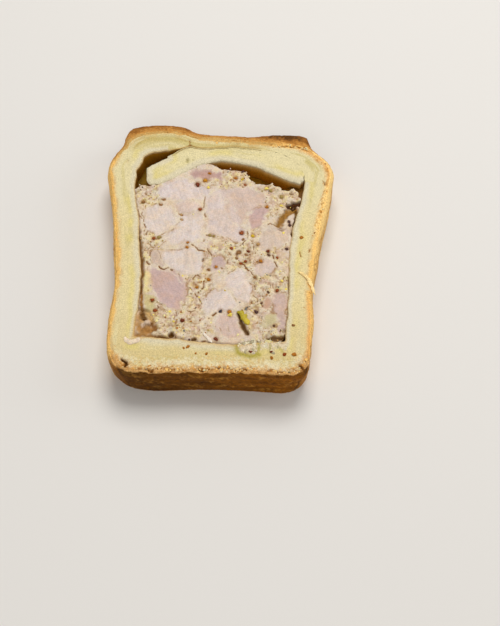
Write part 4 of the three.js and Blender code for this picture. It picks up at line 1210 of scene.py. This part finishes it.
GRAIN_TURN = 0.4  # most turn of a chunk's fibres away from upright
FIBRE = np.array([0.45, 6.0])  # width and length of the meat's fibres
BLUSH = np.array([0.05, -0.02, -0.15])  # how the meat's colour wanders
AREA_GROW = 0.45  # how far the chunks' colours reach past their outlines
CLEFT = 1.1  # marks at least this wide are open clefts, not fine cracks
FINE_CRACKS = [mark for mark in CRACKS if mark[0] < CLEFT]
CLEFTS = [mark for mark in CRACKS if mark[0] >= CLEFT]
CRACK_HIGHLIGHT_SHIFT = (0.4, -0.4)  # a painted highlight: pale along the same side of every fine crack
SEED_PIT = 0.25  # depth of the dent that a seed lies in, as a share of its width


def chunk_look(xy, bent, gate, tint, relief):
    """The chunks laid over the forcemeat: colour, relief, how far they cover it, and their edges."""
    patch = rough(xy, 4, 133)
    swell = 1 + 0.07 * patch + 0.1 * rough(xy, 0.9, 131, 2)
    fringe = AREA_GROW + 0.8 * noise(xy, 1.8, 137) + 0.4 * noise(xy, 0.7, 138)
    cover = np.zeros(len(xy))
    edge = np.zeros(len(xy))
    for turn, (area, loop) in enumerate(zip(AREAS, AREA_LOOPS)):
        depth = depth_inside(bent, loop) + fringe
        share = ease(-0.7, 1.0, depth)
        angle = GRAIN_TURN * np.sin(2.4 * turn)
        c, s = np.cos(angle), np.sin(angle)
        fibre = noise((xy + bent) / 2 @ np.array([[c, -s], [s, c]]), FIBRE, 136)
        meat = area[0] * MEAT_SHADE * (swell + 0.065 * fibre)[:, None]
        shade = mix(meat, RIM, 0.3 * ease(1.8, 0.2, depth) * ease(-0.2, 0.5, -gate))
        tint = mix(tint, shade, share)
        relief = relief * (1 - share) + share * (0.15 * patch + 0.05 * fibre)
        cover = np.maximum(cover, share)
        edge = np.maximum(edge, np.exp(-((depth / 0.4) ** 2)))
    blush = 1 + np.clip(rough(xy, 2.6, 135), -0.3, 1)[:, None] * BLUSH
    return tint * blush, relief, cover, edge


def crack_look(xy, bent, film, shaded_split, mottle, tint, relief):
    """Films of fat, split edges, fine cracks and open clefts laid over the filling; the split edges, cracks
    and clefts are painted shade, and a painted highlight runs along one side of each fine crack.
    """
    crack = strokes(bent, FINE_CRACKS, 0.85) * ease(-1, 0.1, noise(xy, 1.4, 141))
    cleft = strokes(bent, CLEFTS)
    tint = painted(
        tint,
        (FILM, film),
        # painted highlight along one side of each fine crack
        (CREAMY, 0.6 * strokes(bent + CRACK_HIGHLIGHT_SHIFT, FINE_CRACKS, 2.0)),
        (CREVICE_SHADE, shaded_split),
        (CREVICE_SHADE, 1.5 * crack),
        (CRACK_SHADE, 1.5 * crack - 0.45),
        (CLEFT_SHADE * (1 + 0.4 * mottle)[:, None], 1.7 * cleft + 0.3 * mottle * (cleft > 0.1)),
        (CLEFT_DEEP_SHADE, 1.6 * cleft - 0.9 + 0.5 * mottle),
    )
    return tint, relief + (0.12 * film - 0.3 * shaded_split - 0.5 * crack - 0.9 * cleft)


def filling_look(xy):
    """Colour, relief and grain of the filling's cut face."""
    bent = warped(xy, CHUNK_WAVES)
    coarse = coarse_share(xy)
    gate = noise(xy, 3, 139)
    mottle = rough(xy, 1.1, 148) + 0.5 * rough(xy, 0.5, 149)
    tint, relief = forcemeat_look(xy, coarse)
    tint, relief, cover, edge = chunk_look(xy, bent, gate, tint, relief)
    film = np.maximum(0.5 * edge * ease(0.05, 0.5, gate), 0.8 * strokes(bent, FILMS))
    # split edges along the chunks, sunk and painted as shade
    shaded_split = 0.8 * edge * ease(0.15, 0.6, -gate) * coarse
    tint, relief = crack_look(xy, bent, film, shaded_split, mottle, tint, relief)
    for x, y, width in itertools.chain(*FILLING_SEEDS.values()):
        near, away = around(xy, np.array([[x, y]]) + MEASURED, 1.3 * width)
        # a painted shadow ring round each seed, in the dent it lies in
        ring = np.exp(-(((away / width - 0.55) / 0.2) ** 2))
        tint[near] = mix(tint[near], CREVICE_SHADE, 0.55 * ring)
        relief[near] -= SEED_PIT * width * np.exp(-((away / width / 0.75) ** 2))
    for colour, depth, *mark in STAINS_AND_SHADE:
        shown = blot(bent, *mark)
        tint = mix(tint, colour * (1 + 0.4 * mottle)[:, None], shown)
        relief -= (depth + 0.3 * mottle) * shown
    return tint, relief, 0.8 + 0.2 * coarse * (1 - cover)


def set_faces(slab, relief):
    """Moves both cut faces by their relief, the lower one upwards only."""
    points = slab.points
    up = slab.side > 0
    down = slab.side < 0
    points[up, 2] += relief[up]
    points[down, 2] += np.clip(0.25 - relief[down], 0, 1.5)
    return points


def juice_and_shade_share(xy):
    """Where the filling's edge sinks along the two walls, browned with juice and painted shade in the gap.
    """
    x, y = (xy - MEASURED).T
    left = ease(-28, -33, x) * ease(49, 45, y) * ease(-10, -6.5, y)
    right = ease(8, 12, x) * ease(30, 27, y) * ease(-19, -16, y)
    return left + right


def filling_piece(name, loops, node, rows):
    """One body of the filling; the forcemeat's edge also sinks, browned with juice and painted shade."""
    near = [c for c in CRACKS if inside(np.array(c[2:]) + MEASURED, grown(loops[0], 1)).any()]
    slab = Slab(loops, FILLING_STEP, 0, FILLING_FACE, rows=rows, refine=near)
    xy = slab.flat
    tint, relief, grain = filling_look(xy)
    wall = slab.side == 0
    # the filling's sides darken downwards: juice stain and painted shade
    tint[wall] = mix(tint[wall], WALL_DAMP_AND_SHADE, 0.8 * ease(0.5, 4, slab.depth[wall]))
    if node == "forcemeat":
        # under the lower edge the brown is painted shade; along the walls it is juice and painted shade
        low = 0.5 * ease(-18, -20, (xy - MEASURED)[:, 1])
        soaked = nearest(xy, loops[0])[0] + 0.5 * rough(xy, 1.6, 143)
        juice_and_shade = juice_and_shade_share(xy) * ease(2.3, 0.9, soaked) + low * ease(1.6, 0.2, soaked)
        tint = mix(tint, JUICE_AND_GAP_SHADE, juice_and_shade)
        relief -= GAP_FILL_DEPTH * juice_and_shade
    points = set_faces(slab, relief)
    piece(name, points, slab.faces, tint, FILLING_FINISH, [node], grain)


FILLING_AT = 8  # height at which the filling's outlines are read
FILLING_STEP = 0.34  # spacing of the filling's points
BASE_CLOSE = 0.7  # the filling lies on the base with no gap
LID_CLOSE = 0.8  # and so does the lid's free end on the filling
RAGGED = ((1.7, 0.5, 145), (0.8, 0.25, 147))  # waves of the filling's upper edge


def filling_pieces():
    """The forcemeat and its chunks; gives the filling's outer edge."""
    outer, *holes = section("forcemeat", FILLING_AT)
    outer = even(outer, FILLING_STEP, soften=0.3)
    x, height = (outer - MEASURED).T
    under_lid = ease(-39, -36, x) * ease(-11, -14, x) * ease(45, 47, height)
    outer = grown(outer, GAP_FILL_REACH * juice_and_shade_share(outer) + LID_CLOSE * under_lid)
    outer[:, 1] -= BASE_CLOSE * ease(-19, -21.5, height)
    upper = ease(43, 46, height)[:, None]
    outer = warped(outer) * (1 - upper) + warped(outer, (*WARP, *RAGGED)) * upper
    holes = [warped(even(h, FILLING_STEP, soften=0.5)) for h in holes]
    filling_piece("farce", [outer, *(h[::-1] for h in holes)], "forcemeat", rows=5)
    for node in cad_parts:
        if node.startswith("meat_"):
            low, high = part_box(node)
            middle = np.array([low.x + high.x, low.y + high.y]) / 2 / MM
            hole = min(holes, key=lambda h: np.linalg.norm(h.mean(axis=0) - middle))
            filling_piece(node.replace("meat", "chunk"), [hole], node, rows=4)
    return outer


# Jelly

JELLY_BELOW = 0.06  # how far jelly in a shallow pocket lies below the filling's edge
END_RISE = 4.2  # how far the deep jelly climbs at the lid's right end, where it is painted dark as shade
FREE_END_SHADE = 0.55  # painted shade: the jelly beside the lid's free end is darker
DEEP_TOP = 12  # jelly whose top lies lower than this is deep in a hollow
DEEP_REACH = 0.4  # how far deep jelly reaches past its outline
POCKET_REACH = 0.8  # and jelly in a shallow pocket


def jelly_pieces():
    """Deep jelly is plain, with painted shade at the lid's right end and beside its free end; jelly in a
    shallow pocket looks like the stained filling round it.
    """
    for node in ("jelly_under_lid", "jelly_free_end", "jelly_corner", "jelly_right"):
        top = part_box(node)[1].z / MM
        deep = top < DEEP_TOP
        reach = DEEP_REACH if deep else POCKET_REACH
        loop = grown(even(section(node, top / 2)[0], OUTLINE_STEP, soften=0.3), reach)
        slab = Slab([loop], OUTLINE_STEP, 0, top if deep else FILLING_FACE - JELLY_BELOW, rows=3)
        xy = slab.flat
        if deep:
            end = ease(13.5, 17, (xy - MEASURED)[:, 0])
            tint = plain(DEEP_JELLY, len(xy)) * (1 + 0.3 * rough(xy, 4, 151))[:, None]
            # painted shade at the lid's right end
            tint = mix(tint, JELLY_END_PAINTED_SHADE, 0.9 * end)
            if node == "jelly_free_end":
                # painted shade deep in the hollow by the lid's free end
                tint = FREE_END_SHADE * tint
            relief = 0.4 * rough(xy, 3, 153) + END_RISE * end
        else:
            tint, relief = filling_look(xy)[:2]
        points = set_faces(slab, relief)
        piece(node.replace("jelly", "stock"), points, slab.faces, tint, JELLY_FINISH, [node])


# Seeds, specks and crumbs: many small lumps in one mesh


def ball(level):
    """A sphere of radius 1: points and faces."""
    made = bmesh.new()
    bmesh.ops.create_icosphere(made, subdivisions=level, radius=1)
    points = np.array([v.co[:] for v in made.verts])
    faces = np.array([[v.index for v in f.verts] for f in made.faces])
    made.free()
    return points, faces


SHAPE_SHIFT = 7.3  # these take each lump to its own part of the noise
COLOUR_SHIFT = 5.1
COLOUR_SPREAD = 0.18
STRETCH = (0.85, 1.2)  # a lump's length against its width


def scatter(name, spots, finish, level, jagged, flat):
    """Lumps at x, y, z with a width and a colour; jagged is unevenness, flat the height's share."""
    unit, faces = ball(level)
    points, every, tint = [], [], []
    for i, (x, y, z, width, colour) in enumerate(spots):
        stretch = rng.uniform(*STRETCH)
        turn = rng.uniform(0, 2 * np.pi)
        bumps = 1 + jagged * noise(unit + SHAPE_SHIFT * i, 0.8, 161)
        lump = unit * bumps[:, None] * (stretch, 1 / stretch, flat) * width / 2
        c, s = np.cos(turn), np.sin(turn)
        lump = lump @ np.array([[c, s, 0], [-s, c, 0], [0, 0, 1]])
        points.append(lump + (x, y, z))
        every.append(faces + len(unit) * i)
        tint.append(colour * (1 + COLOUR_SPREAD * noise(unit + COLOUR_SHIFT * i, 0.9, 163))[:, None])
    piece(name, np.vstack(points), np.vstack(every).tolist(), np.vstack(tint), finish)


SEED_SHARE = 0.92  # a seed's body as a share of its measured width, which has a blurred rim
SEED_RISE = 0.1  # how far its middle lies above the filling, as a share of its width
PASTRY_SEED_RISE = 0.05  # and above the pastry


def listed(rows):
    """Measured places in rows by colour: x and y in the part's frame, widths and colours."""
    places = [(*place, SEED_COLOURS[name]) for name, row in rows.items() for place in row]
    xy = np.array([place[:2] for place in places]) + MEASURED
    return xy, [SEED_SHARE * place[2] for place in places], [place[3] for place in places]


def on_filling(xy):
    """Heights of the filling's cut face."""
    return FILLING_FACE + filling_look(xy)[1]


def seed_pieces():
    """Mustard seeds on the filling and on the pastry."""
    xy, widths, colours = listed(FILLING_SEEDS)
    level = on_filling(xy) + SEED_RISE * np.array(widths)
    spots = list(zip(*xy.T, level, widths, colours))
    xy, widths, colours = listed(PASTRY_SEEDS)
    spots += list(zip(*xy.T, CUT_FACE + PASTRY_SEED_RISE * np.array(widths), widths, colours))
    scatter("mustard_seeds", spots, SEED_FINISH, level=2, jagged=0.55, flat=0.75)


def speck_pieces(filling_edge):
    """Measured bits and random specks on the filling."""
    xy, widths, colours = listed(BITS)
    spots = list(zip(*xy.T, on_filling(xy), widths, colours))
    low, high = filling_edge.min(0), filling_edge.max(0)
    tries = rng.uniform(low, high, (SPECK_TRIES * SPECK_COUNT, 2))
    tries = tries[inside(tries, grown(filling_edge, -SPECK_INSET))]
    crumbly = filling_look(tries)[2] > rng.uniform(*SPECK_GRAIN, len(tries))
    tries = tries[crumbly][:SPECK_COUNT]
    names, shares = zip(*SPECKS)
    chosen = rng.choice(len(names), len(tries), p=np.array(shares) / sum(shares))
    widths = rng.lognormal(np.log(SPECK_WIDTH), SPECK_SPREAD, len(tries))
    for (x, y), z, width, k in zip(tries, on_filling(tries), widths, chosen):
        spots.append((x, y, z - SPECK_SINK, width, SEED_COLOURS[names[k]]))
    scatter("spice_bits", spots, SEED_FINISH, level=1, jagged=0.5, flat=0.5)


# Crumbs: along the whole cut edge, most at the base, and under the right lump
CRUMB_COUNT = 420
CRUMB_WIDTH = 0.6
CRUMB_WIDEST = 1.2
CRUMB_SPREAD = 0.42  # of the logarithm of the width
CRUMB_INSET = 0.35  # least distance from the skin
CRUMB_STREWN = (2.2, 0.6)  # shape and scale of the distance beyond that
CRUMB_SINK = 0.2  # how far the middles lie below the cut face
OPEN_CRACK = 0.8  # cracks darker than this are open, so no crumbs lie in them
CRACK_CLEAR = 0.05
LUMP_CRUMBS = 60
LUMP_STREWN = 0.5
LUMP_SINK = 0.1
LUMP_LINE = ((8.5, 70.2), (12, 69.6), (16, 70), (20, 69), (25, 68))
CRUMB_COLOURS = (0.97 * CREAM, 0.9 * PEACH, 0.9 * GOLD, TOAST, BROWN)
CRUMB_SHARES = (0.1, 0.36, 0.28, 0.21, 0.05)
LUMP_CRUMB_SHARES = (0.25, 0.2, 0.45, 0.1, 0)


def crumb_piece():
    """Crumbs on the pastry's cut face."""
    x, y = (RIM_LINE - MEASURED).T
    share = 0.06 + 0.8 * ease(-22, -28, y) + 0.4 * ease(18, 24, x) * ease(10, 30, y)
    chosen = rng.choice(len(RIM_LINE), CRUMB_COUNT, p=share / share.sum())
    inward = RIM_LINE - grown(RIM_LINE, 1)
    depth = CRUMB_INSET + rng.gamma(*CRUMB_STREWN, CRUMB_COUNT)
    at = RIM_LINE[chosen] + inward[chosen] * depth[:, None]
    level = CUT_FACE - CRUMB_SINK - 0.4 * np.clip(1 - depth / RIM_ROUND, 0, 1)
    path = line(LUMP_LINE, 0.1)
    extra = path[rng.integers(0, len(path), LUMP_CRUMBS)]
    at = np.vstack([at, extra + rng.normal(0, LUMP_STREWN, (LUMP_CRUMBS, 2))])
    level = np.concatenate([level, np.full(LUMP_CRUMBS, CUT_FACE - LUMP_SINK)])
    sizes = np.minimum(rng.lognormal(np.log(CRUMB_WIDTH), CRUMB_SPREAD, len(at)), CRUMB_WIDEST)
    kinds = rng.choice(len(CRUMB_COLOURS), len(at), p=CRUMB_SHARES)
    kinds[CRUMB_COUNT:] = rng.choice(len(CRUMB_COLOURS), LUMP_CRUMBS, p=LUMP_CRUMB_SHARES)
    spots = [(*p, z, size, CRUMB_COLOURS[kind]) for p, z, size, kind in zip(at, level, sizes, kinds)]
    open_cracks = [mark for mark in CRUST_CRACKS if mark[1] > OPEN_CRACK]
    spots = [spot for spot, share in zip(spots, strokes(at, open_cracks)) if share < CRACK_CLEAR]
    scatter("pastry_crumbs", spots, PASTRY_FINISH, level=2, jagged=0.9, flat=0.38)


# Loose lumps of forcemeat: on the base, and along the filling's upper edge
SPILL_LUMPS = 100
EDGE_LUMPS = 32
SPILL_WIDTH = 1.15
EDGE_WIDTH = 0.75
LOOSE_SPREAD = 0.4  # of the logarithm of a lump's share of these widths
LOOSE_WIDEST = 1.4
SPILL_SINK = 0.15
EDGE_SINK = 0.4
EDGE_STREWN = 0.4
SPILL_TRIES = 9  # places tried for each lump on the base
UPPER_EDGE = 44  # the filling's edge above this is its upper edge
LUMP_COLOURS = (FARCE, CREAMY, TAN, GREY_OLIVE, ROSY, YELLOWISH, DAMP)
SPILL_SHARES = (0.14, 0.14, 0.08, 0.16, 0, 0.2, 0.28)
EDGE_SHARES = (0.46, 0.1, 0.18, 0.12, 0.06, 0.08, 0)


def lump_piece(filling_edge):
    """Loose lumps of forcemeat."""
    upper = filling_edge[filling_edge[:, 1] - MEASURED[1] > UPPER_EDGE]
    at = upper[rng.integers(0, len(upper), EDGE_LUMPS)]
    at = at + rng.normal(0, EDGE_STREWN, (EDGE_LUMPS, 2))
    places = [(*p, FILLING_FACE - EDGE_SINK, EDGE_WIDTH) for p in at]
    loop = outline(SPILL, soften=0.4)
    tries = rng.uniform(loop.min(0), loop.max(0), (SPILL_TRIES * SPILL_LUMPS, 2))
    spilt = tries[inside(tries, loop)][:SPILL_LUMPS]
    places += [(*p, CUT_FACE - SPILL_SINK, SPILL_WIDTH) for p in spilt]
    sizes = np.minimum(rng.lognormal(0, LOOSE_SPREAD, len(places)), LOOSE_WIDEST)
    kinds = rng.choice(len(LUMP_COLOURS), len(places), p=SPILL_SHARES)
    kinds[:EDGE_LUMPS] = rng.choice(len(LUMP_COLOURS), EDGE_LUMPS, p=EDGE_SHARES)
    spots = []
    for (x, y, z, width), size, kind in zip(places, sizes, kinds):
        spots.append((x, y, z, width * size, LUMP_COLOURS[kind]))
    scatter("forcemeat_lumps", spots, FILLING_FINISH, level=2, jagged=0.8, flat=0.42)


# Shreds and slivers, each swept along a line

STRAND_SIDES = 12
STRAND_WAVES = ((1.5, 0.2, 171),)
# Name, width, height, level of the middle, colours of both ends, finish, slot, points
STRANDS = [
    ("pistachio", 2.3, 1.6, FILLING_FACE, rgb(164, 146, 28), rgb(214, 190, 66), SEED_FINISH, "forcemeat",
     (-4.9, -9), (-3.4, -9.3), (-2.4, -11), (-1.4, -13), (-0.6, -14.6)),
    ("fat_shred", 1.2, 0.8, FILLING_FACE + 0.2, rgb(236, 222, 204), rgb(236, 222, 204), FILLING_FINISH,
     "pale_meat", (-17.6, -18), (-16.2, -19.6), (-14.8, -21), (-14, -22.2)),
    ("meat_shred", 1.9, 0.7, CUT_FACE + 0.1, rgb(232, 210, 182), rgb(232, 210, 182), FILLING_FINISH,
     "pale_meat", (-46.8, -19.9), (-46.2, -21.4), (-44.6, -22.1), (-42.6, -21.8), (-41, -20.4)),
    ("peel", 1.3, 0.7, CUT_FACE + 0.25, rgb(250, 218, 152), rgb(250, 218, 152), PASTRY_FINISH,
     "pastry", (18.6, 8.3), (20.4, 7.2), (22.1, 5.8), (23.4, 2.3), (24.4, -0.6), (24.9, -2.1)),
]


def strand(name, width, height, level, colour, end, finish, slot, *keys):
    """A tapered, uneven strip along measured places."""
    path = warped(line(keys, MARK_STEP), STRAND_WAVES)
    count = len(path)
    share = np.linspace(0, 1, count)
    taper = 0.12 + 0.88 * np.sqrt(np.clip(np.sin(np.pi * share), 0, 1))
    taper *= 1 + 0.25 * noise(path, 1.1, 173)
    along = np.gradient(path, axis=0)
    along /= np.linalg.norm(along, axis=1)[:, None]
    across = np.column_stack([-along[:, 1], along[:, 0]])
    turn = np.linspace(0, 2 * np.pi, STRAND_SIDES, endpoint=False)
    shares = np.repeat(share, STRAND_SIDES)
    skin = np.column_stack([np.tile(np.cos(turn), count), np.tile(np.sin(turn), count), shares * count / 4])
    bumps = taper[:, None] * (1 + 0.3 * noise(skin, 0.9, 177)).reshape(count, STRAND_SIDES)
    flat = path[:, None] + across[:, None] * (np.cos(turn) * bumps * width / 2)[..., None]
    up = level + np.sin(turn) * bumps * height / 2
    points = np.concatenate([flat, up[..., None]], axis=2).reshape(-1, 3)
    rings = np.arange(len(points)).reshape(count, STRAND_SIDES)
    faces = []
    for here, there in zip(rings[:-1], rings[1:]):
        faces += np.column_stack([here, np.roll(here, -1), np.roll(there, -1), there]).tolist()
    faces += [rings[0, ::-1].tolist(), rings[-1].tolist()]
    tint = mix(plain(colour, len(points)), end, shares)
    tint = tint * (1 + 0.16 * rough(points, 1.2, 175))[:, None]
    piece(name, points, faces, tint, finish)


# Floor, light and camera


def flat_material(name, colour, roughness):
    """A material of one colour."""
    material = bpy.data.materials.new(name)
    material.use_nodes = True
    shader = material.node_tree.nodes["Principled BSDF"]
    shader.inputs["Base Color"].default_value = (*colour, 1)
    shader.inputs["Roughness"].default_value = roughness
    return material


FLOOR_SIZE = 6  # metres
FLOOR_COLOUR = rgb(226, 222, 216)
FLOOR_ROUGHNESS = 0.9
FLOOR_LEVEL = -0.00005  # just below the slice
WORLD_COLOUR = (1.0, 0.985, 0.96, 1)
WORLD_STRENGTH = 0.3
# Name, place in metres, size, power
LAMPS = [
    ("key_light", (0.1, 0.5, 1.0), 0.6, 8.5),
    ("side_light", (0.9, 0.15, 0.5), 0.5, 1.6),
    ("fill_light", (-0.1, -0.9, 0.65), 0.8, 3.0),
]


def studio():
    """Floor, world and lamps."""
    bpy.ops.mesh.primitive_plane_add(size=FLOOR_SIZE, location=(0, 0, FLOOR_LEVEL))
    floor = bpy.context.object
    floor.name = "floor"
    floor.data.materials.append(flat_material("floor", FLOOR_COLOUR, FLOOR_ROUGHNESS))
    world = bpy.data.worlds.new("studio")
    bpy.context.scene.world = world
    world.use_nodes = True
    backdrop = world.node_tree.nodes["Background"]
    backdrop.inputs["Color"].default_value = WORLD_COLOUR
    backdrop.inputs["Strength"].default_value = WORLD_STRENGTH
    for name, place, size, power in LAMPS:
        lamp = bpy.data.lights.new(name, "AREA")
        lamp.size = size
        lamp.energy = power
        made = bpy.data.objects.new(name, lamp)
        made.location = place
        made.rotation_euler = (-Vector(place)).to_track_quat("-Z", "Y").to_euler()
        bpy.context.scene.collection.objects.link(made)


CAMERA_AIM = Vector((MEASURED[0] * MM, MEASURED[1] * MM, 0))
CAMERA_DISTANCE = 0.407
SENSOR = 36  # its width in millimetres
CAMERA_ELEVATION = math.radians(60.95)
CAMERA_VIEW = math.radians(34)  # from the top of the frame to its bottom


def camera():
    """The camera, placed as in the photo."""
    data = bpy.data.cameras.new("camera")
    data.sensor_width = SENSOR
    data.lens = data.sensor_width / 2 / math.tan(CAMERA_VIEW / 2)
    made = bpy.data.objects.new("camera", data)
    back = Vector((0, -math.cos(CAMERA_ELEVATION), math.sin(CAMERA_ELEVATION)))
    made.location = CAMERA_AIM + back * CAMERA_DISTANCE
    made.rotation_euler = (math.pi / 2 - CAMERA_ELEVATION, 0, 0)
    bpy.context.scene.collection.objects.link(made)
    bpy.context.scene.camera = made


# The order matters, since the pieces share one run of random numbers

crust_piece()
lid_piece()
filling_rim = filling_pieces()
jelly_pieces()
seed_pieces()
speck_pieces(filling_rim)
crumb_piece()
lump_piece(filling_rim)
for row in STRANDS:
    strand(*row)
studio()
camera()
bpy.context.scene.view_settings.view_transform = "Standard"
